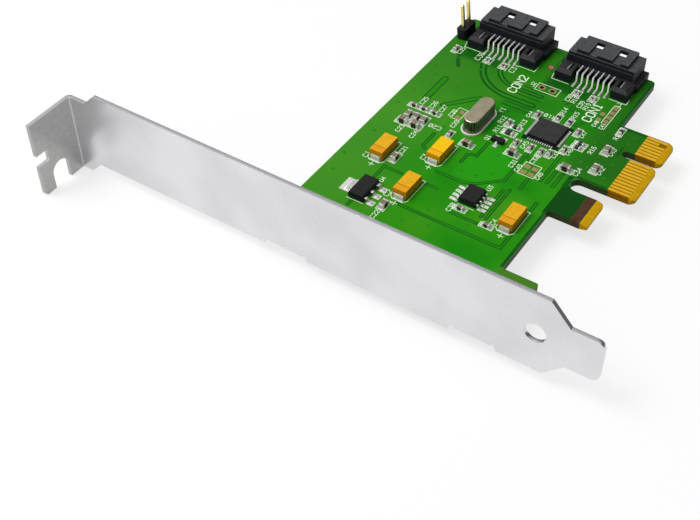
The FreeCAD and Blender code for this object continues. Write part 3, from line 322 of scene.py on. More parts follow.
def flat_chip_leads():
    """Fine leads, darkened beside the body by a painted shadow of it, and bright where they are
    soldered.
    """
    made = Material("fine_lead_plating", metallic=0.4)
    x = made.math("ABSOLUTE", made.offset("X", FLAT_CHIP[0]))
    y = made.math("ABSOLUTE", made.offset("Y", FLAT_CHIP[1]))
    reach = made.math("MAXIMUM", x, y)
    fine = made.noise(0.3, 4.0)
    body_shadow = made.ramp(fine, ((0.3, colour(52, 52, 50)), (0.7, colour(80, 80, 76))))
    bright = made.ramp(fine, ((0.3, colour(206, 208, 202)), (0.7, colour(238, 239, 232))))
    # Near the body the leads take the painted shadow tone
    made.paint(made.mix(made.fade(reach, LEAD_BEND * MM, LEAD_FOOT * MM), body_shadow, bright))
    made.polish(fine, 0.28, 0.42)
    made.emboss(fine, 0.003)
    return made


def crystal_flange():
    """A thin flange round the crystal's can, with a painted highlight along its outer edge."""
    made = Material("crystal_base_metal", metallic=0.3)
    x = made.math("ABSOLUTE", made.offset("X", CRYSTAL[0]))
    y = made.offset("Y", CRYSTAL[1])
    beyond = made.math("MAXIMUM", made.math("SUBTRACT", x, CRYSTAL_HALF_RUN * MM), 0.0)
    reach = made.math("SQRT", made.math(
        "ADD", made.math("MULTIPLY", beyond, beyond), made.math("MULTIPLY", y, y)
    ))
    flat = made.mottle(0.8, colour(138, 124, 102), colour(166, 152, 130))
    rim_highlight = made.mottle(0.8, colour(232, 231, 226), colour(250, 249, 246))
    # Past this radius the flange takes the painted highlight
    made.paint(made.mix(made.math("GREATER_THAN", reach, CRYSTAL_RIM * MM), flat, rim_highlight))
    fine = made.noise(0.12, 5.0)
    made.polish(fine, 0.24, 0.36)
    made.emboss(fine, 0.003)
    return made


def socket_moulding():
    """Black moulding, paler on its upper faces as a painted sheen, finely speckled there, and
    darker on its upright faces as painted shade.
    """
    made = Material("socket_case_moulding", roughness=0.55, specular=0.25)
    low = made.mottle(0.6, colour(30, 30, 34), colour(46, 46, 50))
    # Painted sheen: the upper faces are paler
    high = made.mottle(0.3, colour(52, 53, 55), colour(84, 85, 87))
    # Painted shade: the upright faces are darker
    side = made.mottle(0.8, colour(10, 11, 20), colour(24, 25, 35))
    sheen_faces = made.math("GREATER_THAN", made.axis("Object", "Z"), SOCKET_UPPER_FACES * MM)
    tone = made.mix(sheen_faces, low, high)
    made.paint(made.mix(made.sides(), tone, side))
    fine = made.noise(0.12, 5.0)
    made.polish(fine, 0.5, 0.66)
    made.emboss(fine, 0.005)
    return made


green_mask = solder_mask()
socket_case = socket_moulding()

# Two tones, the size of their drift, the grain's size and depth, the range of roughness, and for
# some two side tones, painted light on their upright faces
materials = {
    "brown_ring": speckled(
        "bare_laminate_ring", colour(70, 44, 22), colour(92, 60, 30), 0.8, 0.2, 0.004, (0.4, 0.6)
    ),
    "legend": speckled(
        "legend_ink", colour(214, 232, 200), colour(238, 247, 228), 1.5, 0.1, 0.003,
        (0.5, 0.7), specular=0.2
    ),
    "gold": speckled(
        "gold_plating", colour(238, 184, 18), colour(250, 202, 34), 1.5, 0.15, 0.003,
        (0.26, 0.42), metallic=0.5
    ),
    "brass": speckled(
        "flash_gold_pins", colour(214, 194, 112), colour(232, 214, 134), 1.0, 0.12, 0.004,
        (0.22, 0.38), metallic=1.0
    ),
    "screw": speckled(
        "plated_screw_steel", colour(176, 178, 182), colour(208, 210, 214), 1.2, 0.2, 0.006,
        (0.24, 0.4), metallic=1.0
    ),
    # Painted shade on the upright faces
    "header": speckled(
        "header_moulding", colour(24, 24, 29), colour(36, 36, 41), 0.4, 0.12, 0.006,
        (0.5, 0.66), (colour(8, 9, 16), colour(18, 19, 27)), specular=0.2
    ),
    # Tops darkened as painted shade, upright faces brightened as a painted highlight
    "contact": speckled(
        "contact_plating", colour(162, 164, 160), colour(206, 207, 202), 0.5, 0.12, 0.004,
        (0.2, 0.34), (colour(246, 247, 242), colour(255, 255, 252)), metallic=0.1
    ),
    # Painted shade on the upright faces
    "package": speckled(
        "package_moulding", colour(22, 22, 23), colour(31, 31, 33), 0.8, 0.07, 0.006,
        (0.5, 0.68), (colour(14, 14, 17), colour(22, 22, 25)), specular=0.25
    ),
    # Painted shade on the upright faces
    "flat_package": speckled(
        "flat_package_moulding", colour(38, 38, 38), colour(54, 54, 53), 0.6, 0.07, 0.005,
        (0.5, 0.66), (colour(14, 14, 17), colour(22, 22, 25)), specular=0.25
    ),
    "tin": speckled(
        "tin_plating", colour(204, 205, 204), colour(234, 235, 232), 0.6, 0.12, 0.006,
        (0.2, 0.36), metallic=0.75
    ),
    "strip": speckled(
        "strip_plating", colour(226, 227, 224), colour(248, 248, 245), 2.4, 0.2, 0.002,
        (0.24, 0.36), metallic=0.35
    ),
    "solder": speckled(
        "solder", colour(212, 213, 206), colour(244, 244, 236), 0.5, 0.2, 0.012,
        (0.22, 0.42), metallic=0.4
    ),
    "bare_pad": speckled(
        "bare_pad_finish", colour(156, 132, 82), colour(186, 164, 112), 0.8, 0.15, 0.006,
        (0.34, 0.5), metallic=0.5
    ),
    # Painted reflection streaks on the upright faces
    "crystal": speckled(
        "crystal_can_metal", colour(188, 180, 150), colour(204, 196, 166), 1.6, 0.12, 0.003,
        (0.3, 0.42), (colour(58, 56, 50), colour(150, 146, 136)), metallic=1.0
    ),
    # Painted shade on the upright faces
    "ceramic": speckled(
        "fired_ceramic", colour(118, 104, 86), colour(146, 130, 108), 0.8, 0.08, 0.004,
        (0.45, 0.6), (colour(30, 26, 22), colour(52, 46, 38)), specular=0.3
    ),
    "resistor": speckled(
        "resistor_glaze", colour(28, 27, 30), colour(48, 46, 50), 0.6, 0.08, 0.004, (0.3, 0.5)
    ),
}
# Lacquered details, each with its two tones and the sizes of their drift and grain
MASKS = (
    ("mask_gap", "mask_over_laminate", (6, 76, 16), (12, 92, 14), 5, 0.4),
    # The mask in shade is painted shade, laid under the flat chip
    ("mask_painted_shade", "mask_in_shade", (2, 40, 8), (6, 54, 12), 2, 0.3),
    ("mask_trace", "mask_over_trace", (30, 124, 8), (40, 138, 12), 6, 0.4),
    ("mask_rim", "mask_over_rim", (36, 128, 12), (46, 138, 20), 3, 0.3),
)
for key, name, dark, pale, size, grain in MASKS:
    materials[key] = speckled(
        name, colour(*dark), colour(*pale), size, grain, 0.002, (0.34, 0.46), specular=0.08
    )
plain_yellow = tantalum(
    "tantalum_moulding", top=(colour(220, 160, 14), colour(233, 178, 26)),
    painted_side_tones=(colour(176, 116, 10), colour(204, 142, 18)),
    band=0.29, printed=colour(226, 156, 20), line=colour(186, 112, 14)
)
bright_yellow = tantalum(
    "tantalum_moulding_bright", top=(colour(238, 188, 0), colour(248, 201, 2)),
    painted_side_tones=(colour(200, 134, 0), colour(224, 158, 4)),
    band=0.27, printed=colour(240, 176, 8), line=colour(196, 124, 8)
)

NODE_FINISHES = {
    "circuit_board": green_mask,
    "edge_fingers_front": materials["gold"],
    "edge_fingers_back": materials["gold"],
    "card_bracket": sheet_steel(),
    "bracket_screws": materials["screw"],
    "pin_header_base": materials["header"],
    "pin_header_pins": materials["brass"],
    "plated_rings": materials["bare_pad"],
    "crystal_base": crystal_flange(),
    "crystal_can": materials["crystal"],
    "regulator_body": materials["package"],
    "regulator_leads": materials["tin"],
    "memory_chip_body": materials["package"],
    "memory_chip_leads": materials["tin"],
    "transistor_body": materials["package"],
    "transistor_leads": materials["tin"],
    "controller_chip_body": materials["flat_package"],
    "controller_chip_leads": flat_chip_leads(),
    "chip_capacitor_bodies": materials["ceramic"],
    "chip_capacitor_ends": materials["tin"],
    "chip_resistor_bodies": materials["resistor"],
    "chip_resistor_ends": materials["tin"],
    "bare_pads": materials["bare_pad"],
}
for number in (1, 2):
    NODE_FINISHES[f"data_socket_{number}_housing"] = socket_case
    NODE_FINISHES[f"data_socket_{number}_contacts"] = materials["contact"]
    NODE_FINISHES[f"data_socket_{number}_holddowns"] = materials["tin"]
for number in (1, 2, 3, 4):
    NODE_FINISHES[f"capacitor_{number}_body"] = bright_yellow if number == 3 else plain_yellow
    NODE_FINISHES[f"capacitor_{number}_terminals"] = materials["strip"]

# Edge rounding of the solids, in millimetres
ROUNDINGS = {
    "circuit_board": 0.06, "card_bracket": 0.12, "bracket_screws": 0.12, "pin_header_base": 0.08,
    "regulator_body": 0.08, "memory_chip_body": 0.06, "transistor_body": 0.06,
    "controller_chip_body": 0.05, "chip_capacitor_bodies": 0.04, "chip_capacitor_ends": 0.07,
    "chip_resistor_bodies": 0.03, "chip_resistor_ends": 0.06, "crystal_base": 0.1,
    "regulator_leads": 0.04, "memory_chip_leads": 0.04,
}
for number in (1, 2):
    ROUNDINGS[f"data_socket_{number}_housing"] = 0.1
    ROUNDINGS[f"data_socket_{number}_contacts"] = 0.04
for number in (1, 2, 3, 4):
    ROUNDINGS[f"capacitor_{number}_body"] = 0.12
    ROUNDINGS[f"capacitor_{number}_terminals"] = 0.04

for name, node in nodes.items():
    finish = NODE_FINISHES[name].material
    if not node.material_slots:
        node.data.materials.append(finish)
    for slot in node.material_slots:
        slot.material = finish
    if name in ROUNDINGS:
        weld = node.modifiers.new("weld", "WELD")
        weld.merge_threshold = 0.002 * MM
        bevel = node.modifiers.new("rounding", "BEVEL")
        bevel.width = ROUNDINGS[name] * MM
        bevel.segments = 2
        bevel.limit_method = "ANGLE"
        bevel.angle_limit = math.radians(28)
        bevel.harden_normals = False
        smooth = node.modifiers.new("even_normals", "WEIGHTED_NORMAL")
        smooth.keep_sharp = False


# The limit keeps the mitres of sharp corners short, and open ends are rounded in steps
MITRE_LIMIT = 0.4
CAP_STEPS = 4


class Sheet:
    """Shapes gathered into one mesh, in millimetres."""

    def __init__(self):
        self.points = []
        self.faces = []

    def solid(self, rings):
        """Skin a stack of rings of equal count, open below and closed on top."""
        first = len(self.points)
        count = len(rings[0])
        for ring in rings:
            self.points += ring
        for level in range(len(rings) - 1):
            for index in range(count):
                here = first + level * count + index
                following = first + level * count + (index + 1) % count
                self.faces.append((here, following, following + count, here + count))
        top = first + (len(rings) - 1) * count
        self.faces.append(tuple(range(top, top + count)))

    def prism(self, outline, low, high):
        ring = list(outline)
        if (high > low) != (spin(ring) > 0):
            ring = ring[::-1]
        self.solid([[(x, y, level) for x, y in ring] for level in (low, high)])

    def rectangle(self, x_low, y_low, x_high, y_high, low, high):
        self.prism(
            [(x_low, y_low), (x_high, y_low), (x_high, y_high), (x_low, y_high)], low, high
        )

    def disc(self, x, y, radius, low, high, sides):
        self.prism(circle(x, y, radius, sides), low, high)

    def line(self, points, width, low, high):
        """A line of even width, mitred at its corners and round at its open ends."""
        closed = points[0] == points[-1]
        path = [Vector(point) for point in (points[:-1] if closed else points)]
        count = len(path)
        runs = [(path[(index + 1) % count] - path[index]).normalized() for index in range(count)]
        pairs = []
        for index, point in enumerate(path):
            before = runs[index - 1] if closed or index > 0 else runs[index]
            after = runs[index] if closed or index < count - 1 else runs[index - 1]
            tangent = (before + after).normalized()
            side = Vector((-tangent.y, tangent.x))
            stretch = max(MITRE_LIMIT, side.dot(Vector((-after.y, after.x))))
            side *= width / 2 / stretch
            pairs.append((point - side, point + side))
        for index in range(count if closed else count - 1):
            right, left = pairs[index]
            next_right, next_left = pairs[(index + 1) % count]
            self.prism([tuple(right), tuple(next_right), tuple(next_left), tuple(left)], low, high)
        if closed:
            return
        for point, (right, left), back in ((path[0], pairs[0], -1), (path[-1], pairs[-1], 1)):
            reach = (right - point) * back
            cap = []
            for step in range(CAP_STEPS + 1):
                turn = Matrix.Rotation(math.pi * step / CAP_STEPS, 2)
                cap.append(tuple(point + turn @ reach))
            self.prism(cap, low, high)

    def dome(self, x, y, radius, low, height, sides=14):
        """A low solder mound."""
        rings = []
        for share, rise in ((1.0, 0.0), (0.82, 0.45), (0.55, 0.8), (0.22, 0.97)):
            rings.append([
                (px, py, low + height * rise) for px, py in circle(x, y, radius * share, sides)
            ])
        if height < 0:
            rings = [ring[::-1] for ring in rings]
        self.solid(rings)

    def make(self, name, material, smooth=False):
        mesh = bpy.data.meshes.new(name)
        mesh.from_pydata([(x * MM, y * MM, z * MM) for x, y, z in self.points], [], self.faces)
        mesh.update()
        mesh.materials.append(material.material)
        mesh.polygons.foreach_set("use_smooth", [smooth] * len(mesh.polygons))
        piece = bpy.data.objects.new(name, mesh)
        bpy.context.scene.collection.objects.link(piece)
        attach(piece, "root")


def spin(ring):
    """Twice a ring's area, positive when it runs anticlockwise."""
    return sum(
        here[0] * following[1] - following[0] * here[1]
        for here, following in zip(ring, ring[1:] + ring[:1])
    )


def circle(x, y, radius, sides):
    return [
        (x + radius * math.cos(2 * math.pi * index / sides),
         y + radius * math.sin(2 * math.pi * index / sides))
        for index in range(sides)
    ]


def arc(x, y, radius, start, stop, steps):
    """Points along an arc, its angles in degrees."""
    points = []
    for index in range(steps + 1):
        angle = math.radians(start + (stop - start) * index / steps)
        points.append((x + radius * math.cos(angle), y + radius * math.sin(angle)))
    return points


def islands(name):
    """The boxes of a node's separate solids, in millimetres."""
    mesh = nodes[name].data
    places = {}
    owner = []
    for vertex in mesh.vertices:
        key = tuple(round(part / MM, 3) for part in vertex.co)
        owner.append(places.setdefault(key, len(places)))
    root = list(range(len(places)))

    def find(index):
        while root[index] != index:
            root[index] = root[root[index]]
            index = root[index]
        return index

    for edge in mesh.edges:
        root[find(owner[edge.vertices[0]])] = find(owner[edge.vertices[1]])
    groups = {}
    for key, index in places.items():
        groups.setdefault(find(index), []).append(key)
    return [
        (tuple(map(min, zip(*points))), tuple(map(max, zip(*points))))
        for points in groups.values()
    ]


def touching(one, other, reach):
    return all(
        one[0][axis] - reach <= other[1][axis] and other[0][axis] - reach <= one[1][axis]
        for axis in range(3)
    )


# Copper under the lacquer: dark clearances, and the paler lines of the traces in them
gaps = Sheet()
traces = Sheet()
GAP_TOP = 0.006
TRACE_TOP = 0.012
TRACE_LIFT = 0.0002
TRACE_WIDTH = 0.36
NARROW_WIDTH = 0.34


def trace(points, width=TRACE_WIDTH, clearance=0.22):
    """A trace in its clearance, lifted a little so that crossing lines share no plane."""
    lift = TRACE_LIFT * (len(traces.points) % 7)
    gaps.line(points, width + clearance * 2, 0, GAP_TOP + lift)
    traces.line(points, width, 0, TRACE_TOP + lift)


# Clear margins along the lower edges, the tabs and the slots
for x_low, y_low, x_high, y_high in (
    (16.45, 13.15, 34.4, 13.75), (43.0, 13.15, 46.9, 14.2),
    (46.95, 6.1, 47.6, 13.2), (57.9, 8.5, 60.6, 9.1),
    (66.3, 6.1, 66.95, 12.6), (67.1, 12.15, 84.4, 12.7),
):
    gaps.rectangle(x_low, y_low, x_high, y_high, 0, GAP_TOP)

TRACES = (
    ((20.7, 39.4), (20.7, 16.0), (35.8, 16.0)),
    ((24.3, 29.2), (24.3, 22.4)),
    ((25.2, 47.4), (28.9, 47.4), (28.9, 43.2)),
    ((28.9, 38.0), (28.9, 34.9)),
    ((38.3, 43.4), (39.0, 44.2), (43.6, 44.2)),
    ((38.6, 34.9), (41.3, 34.9), (41.9, 34.2), (41.9, 33.1), (46.9, 33.1)),
    ((33.3, 37.6), (33.3, 31.4), (34.3, 29.0), (38.3, 24.6), (49.0, 24.6)),
    ((15.2, 47.4), (17.0, 47.4)),
    ((26.4, 22.3), (36.4, 22.3)),
    ((26.4, 23.4), (35.6, 23.4)),
    ((42.2, 18.5), (52.6, 18.5)),
    ((42.2, 17.1), (46.6, 17.1)),
    ((41.8, 15.6), (46.4, 15.6)),
    ((56.5, 36.6), (59.4, 34.3), (60.1, 31.6)),
    ((66.0, 23.4), (69.4, 23.4)),
    ((61.8, 20.4), (64.2, 19.2)),
    ((47.4, 24.0), (44.6, 20.8), (37.8, 20.8)),
    ((76.4, 33.0), (82.6, 33.0), (83.6, 34.0), (83.6, 36.2)),
)
for points in TRACES:
    trace(points)
trace(((53.0, 51.95), (61.4, 51.95)), 1.0, 0.3)
trace(((52.9, 47.6), (59.3, 42.0)), 0.8, 0.28)

# Wide runs sweep from the upper socket down to the flat chip, beside a bundle of narrow ones
for x, y, radius, width, clearance, low in (
    (73.4, 37.3, 10.3, 0.65, 0.5, 31.2), (73.2, 37.3, 6.4, 0.5, 0.42, 31.0),
):
    sweep = arc(x, y, radius, 90, 180, 18)
    trace([(74.2, y + radius)] + sweep + [(x - radius, low)], width, clearance)
for x in (60.4, 61.6, 65.2, 68.4):
    gaps.line([(x, 37.2), (x, 30.6)], NARROW_WIDTH, 0, GAP_TOP)
for radius in (8.6, 7.6):
    sweep = arc(73.4, 31.6, radius, 270, 225, 8)
    gaps.line([(74.2, 31.6 - radius)] + sweep, NARROW_WIDTH, 0, GAP_TOP)
gaps.line([(67.0, 51.9), (68.6, 52.9), (73.9, 54.9)], 0.9, 0, GAP_TOP)

# Small tented holes beside the traces
VIAS = [
    (62.4, 45.3), (62.4, 46.6), (69.9, 53.2), (68.4, 47.0), (60.2, 48.1), (58.0, 53.7),
    (17.2, 36.0), (18.6, 30.8), (22.6, 33.1), (23.0, 24.4), (18.2, 21.4), (17.4, 16.8),
    (36.6, 30.2), (38.8, 27.6), (36.2, 33.4), (44.6, 29.4), (40.6, 40.2), (46.6, 43.6),
    (26.9, 34.2), (31.2, 34.4), (51.9, 14.2), (59.0, 14.4), (62.4, 14.0), (69.2, 13.9),
    (80.6, 13.6), (82.8, 34.2), (79.8, 34.6), (73.4, 34.4), (54.2, 55.6), (64.6, 56.2),
    (69.6, 56.6), (61.6, 54.4), (47.4, 30.0), (51.2, 12.5), (54.6, 8.3), (49.8, 8.0),
    (62.4, 8.4), (64.8, 8.0), (28.2, 56.8), (22.6, 55.9), (37.6, 55.4), (48.6, 56.4),
]
via_rims = Sheet()
CLEARANCE_TOP = GAP_TOP + 0.0016
RIM_TOP = 0.016
CENTRE_TOP = 0.018
for x, y in VIAS:
    gaps.disc(x, y, 0.33, 0, CLEARANCE_TOP, 16)
    via_rims.disc(x, y, 0.29, 0, RIM_TOP, 16)

# The same lacquer under the board: runs of traces between the tented holes
BACK_TRACES = (
    ((17.2, 36.0), (17.2, 28.0), (18.6, 26.6), (36.6, 26.6), (38.8, 27.6)),
    ((23.0, 24.4), (23.0, 21.2), (24.0, 20.2), (44.6, 20.2), (47.4, 23.0), (47.4, 30.0)),
    ((26.9, 34.2), (26.9, 45.0), (28.2, 46.3), (28.2, 56.8)),
    ((36.2, 33.4), (40.6, 37.8), (40.6, 40.2)), ((46.6, 43.6), (58.6, 43.6), (62.4, 45.3)),
    ((60.2, 48.1), (60.2, 51.5), (58.0, 53.7)), ((62.4, 46.6), (68.4, 47.0), (69.9, 53.2)),
    ((51.9, 14.2), (51.2, 12.5), (50.4, 8.0)), ((59.0, 14.4), (54.6, 12.0), (54.6, 8.3)),
    ((62.4, 14.0), (62.4, 8.4)), ((69.2, 13.9), (64.8, 11.0), (64.8, 8.0)),
    ((73.4, 34.4), (79.8, 34.6), (82.8, 34.2)), ((54.2, 55.6), (61.6, 54.4), (64.6, 56.2)),
    ((22.6, 55.9), (34.0, 55.9), (37.6, 55.4)), ((80.6, 13.6), (80.6, 30.2), (77.6, 34.0)),
    ((69.6, 56.6), (73.4, 56.4), (76.0, 56.3)),
)
for points in BACK_TRACES:
    gaps.line(points, TRACE_WIDTH * 2, BOARD_BACK, BOARD_BACK - GAP_TOP)
    traces.line(points, TRACE_WIDTH, BOARD_BACK, BOARD_BACK - TRACE_TOP)
for x, y in VIAS:
    gaps.disc(x, y, 0.4, BOARD_BACK, BOARD_BACK - CLEARANCE_TOP, 16)
    via_rims.disc(x, y, 0.3, BOARD_BACK, BOARD_BACK - RIM_TOP, 16)
    gaps.disc(x, y, 0.11, BOARD_BACK, BOARD_BACK - CENTRE_TOP, 10)
gaps.make("copper_clearances", materials["mask_gap"])
traces.make("covered_traces", materials["mask_trace"])
via_rims.make("tented_holes", materials["mask_rim"])

# Pads and solder: plated ends and lead feet sit on pads, and all but the flat chip's leads in
# fillets
pads = Sheet()
solder = Sheet()
PAD_TOP = 0.03
LEAST_FILLET = 0.12
END_SHARE = 0.55


def fillet(box, axis, sign, reach, share, spread=0.1):
    """A concave solder fillet on one side of a plated end, up to a share of its height."""
    low, high = box
    other = 1 - axis
    face = high[axis] if sign > 0 else low[axis]
    near = low[other] - spread
    far = high[other] + spread
    top = max(LEAST_FILLET, (high[2] - max(low[2], 0)) * share)
    profile = ((0, top), (0.16, top * 0.5), (0.45, top * 0.2), (1.0, PAD_TOP))
    first = len(solder.points)
    for step, rise in profile:
        along = face + sign * reach * step
        pinch = spread * (1 - step)
        for across in (near + pinch, far - pinch):
            point = [0, 0, rise]
            point[axis] = along
            point[other] = across
            solder.points.append(tuple(point))
    for index in range(len(profile) - 1):
        start = first + index * 2
        face_points = (start, start + 2, start + 3, start + 1)
        solder.faces.append(face_points if (sign > 0) == (axis == 0) else face_points[::-1])
    for side in (0, 1):
        rail = [first + index * 2 + side for index in range(len(profile))]
        point = [0, 0, 0]
        point[axis] = face
        point[other] = near + spread if side == 0 else far - spread
        solder.points.append(tuple(point))
        solder.faces.append(tuple(rail + [len(solder.points) - 1]))


def pad_under(box, reach_x, reach_y):
    low, high = box
    pads.rectangle(
        low[0] - reach_x, low[1] - reach_y, high[0] + reach_x, high[1] + reach_y, 0, PAD_TOP
    )


def grown(box, axis, sign, reach):
    """A box with one of its sides pushed out."""
    low, high = list(box[0]), list(box[1])
    if sign < 0:
        low[axis] -= reach
    else:
        high[axis] += reach
    return low, high


# The lowest chips have the shorter fillets and pads
SMALL_CHIP_TOP = 0.5
FRAME_REACH = 0.42
chip_boxes = []
for kind in ("chip_capacitor", "chip_resistor"):
    ends = islands(f"{kind}_ends")
    for body in islands(f"{kind}_bodies"):
        pair = [end for end in ends if touching(body, end, 0.02)]
        if len(pair) != 2:
            continue
        axis = 0 if abs(pair[0][0][0] - pair[1][0][0]) > abs(pair[0][0][1] - pair[1][0][1]) else 1
        pair.sort(key=lambda end: end[0][axis])
        reach, margin = (0.2, 0.26) if body[1][2] < SMALL_CHIP_TOP else (0.36, 0.42)
        for end, sign in zip(pair, (-1, 1)):
            fillet(end, axis, sign, reach, END_SHARE)
            pad_under(grown(end, axis, sign, margin), 0.06, 0.06)
        low = [min(pair[0][0][index], pair[1][0][index]) for index in range(2)]
        high = [max(pair[0][1][index], pair[1][1][index]) for index in range(2)]
        low[axis] -= FRAME_REACH
        high[axis] += FRAME_REACH
        chip_boxes.append((low, high))

TERMINAL_REACH = 0.5
for number in (1, 2, 3, 4):
    body_low, body_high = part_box(f"capacitor_{number}_body")
    for low, high in islands(f"capacitor_{number}_terminals"):
        centre = (low[0] + high[0]) / 2
        sign = -1 if centre < (body_low.x + body_high.x) / 2 / MM else 1
        fillet((low, high), 0, sign, TERMINAL_REACH, END_SHARE)
        pad_under(grown((low, high), 0, sign, TERMINAL_REACH), 0.05, 0.12)

# Each package's axis, the length of its feet, and how far pads run out beyond and beside them
FEET = {
    "regulator_leads": (1, 1.1, 0.35, 0.34),
    "memory_chip_leads": (1, 0.7, 0.95, 0.19),
    "transistor_leads": (0, 0.7, 0.55, 0.25),
}
FOOT_TOP = 0.22
WIDE_LEAD = 2
for name, (axis, foot, beyond, beside) in FEET.items():
    low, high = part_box(name)
    middle = (low[axis] + high[axis]) / 2 / MM
    for lead in islands(name):
        sign = -1 if (lead[0][axis] + lead[1][axis]) / 2 < middle else 1
        foot_low, foot_high = list(lead[0]), list(lead[1])
        if sign < 0:
            foot_high[axis] = foot_low[axis] + foot
        else:
            foot_low[axis] = foot_high[axis] - foot
        foot_high[2] = FOOT_TOP
        fillet((foot_low, foot_high), axis, sign, 0.22, 0.8, 0.04)
        out, aside = beyond, beside
        if name == "regulator_leads" and lead[1][0] - lead[0][0] > WIDE_LEAD:
            out, aside = 1.15, 0.48
        margins = (aside, 0.1) if axis == 1 else (0.1, aside)
        pad_under(grown((foot_low, foot_high), axis, sign, out), *margins)

chip_low, chip_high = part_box("controller_chip_leads")
# Painted shade: a dark sheet of lacquer under and round the flat chip, between its leads
SHADE_MARGIN = 0.1
SHADE_TOP = 0.008
bare = Sheet()
bare.rectangle(
    chip_low.x / MM - SHADE_MARGIN, chip_low.y / MM - SHADE_MARGIN,
    chip_high.x / MM + SHADE_MARGIN, chip_high.y / MM + SHADE_MARGIN, 0, SHADE_TOP,
)
bare.make("shaded_mask_under_chip", materials["mask_painted_shade"])
for box in islands("controller_chip_leads"):
    pad_under(box, 0.0, 0.0)

# A socket contact's foot, and its pad's margins before, along and beside the lead
CONTACT_FOOT, CONTACT_TOP = 1.6, 0.25
BEFORE, ALONG, BESIDE = 0.35, 1.75, 0.07
THIN_PAD_TOP = 0.02
for number in (1, 2):
    for low, high in islands(f"data_socket_{number}_contacts"):
        foot = ((low[0], low[1], 0), (low[0] + CONTACT_FOOT, high[1], CONTACT_TOP))
        pads.rectangle(
            low[0] - BEFORE, low[1] - BESIDE, low[0] + ALONG, high[1] + BESIDE, 0, PAD_TOP
        )
        fillet(foot, 0, -1, 0.3, 0.9, 0.06)
    for low, high in islands(f"data_socket_{number}_holddowns"):
        pads.rectangle(
            low[0] - 0.3, low[1] - 0.6, high[0] + 0.3, high[1] + 0.6, 0, THIN_PAD_TOP
        )
pads.make("soldered_pads", materials["solder"])
solder.make("solder_fillets", materials["solder"], smooth=True)

# Joints under the board, where the pins come through past this corner
HEADER_CORNER = (74, 50)
joints = Sheet()
for low, high in islands("plated_rings"):
    if low[0] > HEADER_CORNER[0] and low[1] > HEADER_CORNER[1]:
        joints.dome((low[0] + high[0]) / 2, (low[1] + high[1]) / 2, 0.95, BOARD_BACK, -0.75)
joints.make("pin_joints", materials["solder"], smooth=True)

# Legend lines, drawn with a plain stroke alphabet on a grid four wide and six high
STROKES = {
    "C": (((4, 5), (3, 6), (1, 6), (0, 5), (0, 1), (1, 0), (3, 0), (4, 1)),),
    "J": (((4, 6), (4, 1), (3, 0), (1, 0), (0, 1)),),
    "L": (((0, 6), (0, 0), (4, 0)),),
    "N": (((0, 0), (0, 6), (4, 0), (4, 6)),),
    "O": (((1, 0), (0, 1), (0, 5), (1, 6), (3, 6), (4, 5), (4, 1), (3, 0), (1, 0)),),
    "Q": (((1, 0), (0, 1), (0, 5), (1, 6), (3, 6), (4, 5), (4, 1), (3, 0), (1, 0)),
          ((2.5, 1.5), (4, 0))),
    "R": (((0, 0), (0, 6), (3, 6), (4, 5), (4, 4), (3, 3), (0, 3)), ((2, 3), (4, 0))),
    "U": (((0, 6), (0, 1), (1, 0), (3, 0), (4, 1), (4, 6)),),
    "Y": (((0, 6), (2, 3), (4, 6)), ((2, 3), (2, 0))),
    "0": (((1, 0), (0, 1), (0, 5), (1, 6), (3, 6), (4, 5), (4, 1), (3, 0), (1, 0)),
          ((1, 1), (3, 5))),
    "1": (((1, 5), (2, 6), (2, 0)), ((1, 0), (3, 0))),
    "2": (((0, 5), (1, 6), (3, 6), (4, 5), (4, 4), (0, 0), (4, 0)),),
    "3": (((0, 6), (4, 6), (2, 3.6), (3, 3.6), (4, 2.6), (4, 1), (3, 0), (1, 0), (0, 1)),),
    "4": (((3, 0), (3, 6), (0, 2), (4, 2)),),
    "5": (((4, 6), (0, 6), (0, 3.6), (3, 3.6), (4, 2.6), (4, 1), (3, 0), (0, 0)),),
    "6": (((3.5, 6), (1, 6), (0, 4.5), (0, 1), (1, 0), (3, 0), (4, 1), (4, 2.6), (3, 3.6),
           (0, 3.6)),),
    "7": (((0, 6), (4, 6), (1.5, 0)),),
    "8": (((1, 3.2), (0, 4.2), (0, 5), (1, 6), (3, 6), (4, 5), (4, 4.2), (3, 3.2), (1, 3.2),
           (0, 2.2), (0, 1), (1, 0), (3, 0), (4, 1), (4, 2.2), (3, 3.2)),),
    "9": (((4, 3), (1, 3), (0, 4), (0, 5), (1, 6), (3, 6), (4, 5), (4, 1.5), (3, 0), (1, 0)),),
    "+": (((0, 3), (4, 3)), ((2, 1), (2, 5))),
}
LETTER_PITCH = 5.6
LEGEND_TOP = 0.02
LEGEND_LIFT = 0.0003
LINE_WIDTH = 0.15
LETTER_WIDTH = 0.14
BOLD_WIDTH = 0.3
BOLD_FROM = 1.5
legend = Sheet()


def print_line(points, width):
    """Lines that cross differ a little in height, so that no two share a plane."""
    legend.line(points, width, 0, LEGEND_TOP + LEGEND_LIFT * (len(legend.points) % 11))


def write(text, x, y, height, width, turned=False):
    """Write text from its lower left corner, along X or turned to read along Y."""
    step = height / 6
    for index, letter in enumerate(text):
        for stroke in STROKES[letter]:
            points = []
            for u, v in stroke:
                along = (index * LETTER_PITCH + u) * step
                across = v * step
                points.append((x - across, y + along) if turned else (x + along, y + across))
            print_line(points, width)


def frame_line(points, closed=True):
    print_line(list(points) + ([points[0]] if closed else []), LINE_WIDTH)


def outline_box(low, high, margin):
    frame_line([
        (low[0] - margin, low[1] - margin), (high[0] + margin, low[1] - margin),
        (high[0] + margin, high[1] + margin), (low[0] - margin, high[1] + margin),
    ])


for low, high in chip_boxes:
    outline_box(low, high, 0.24)

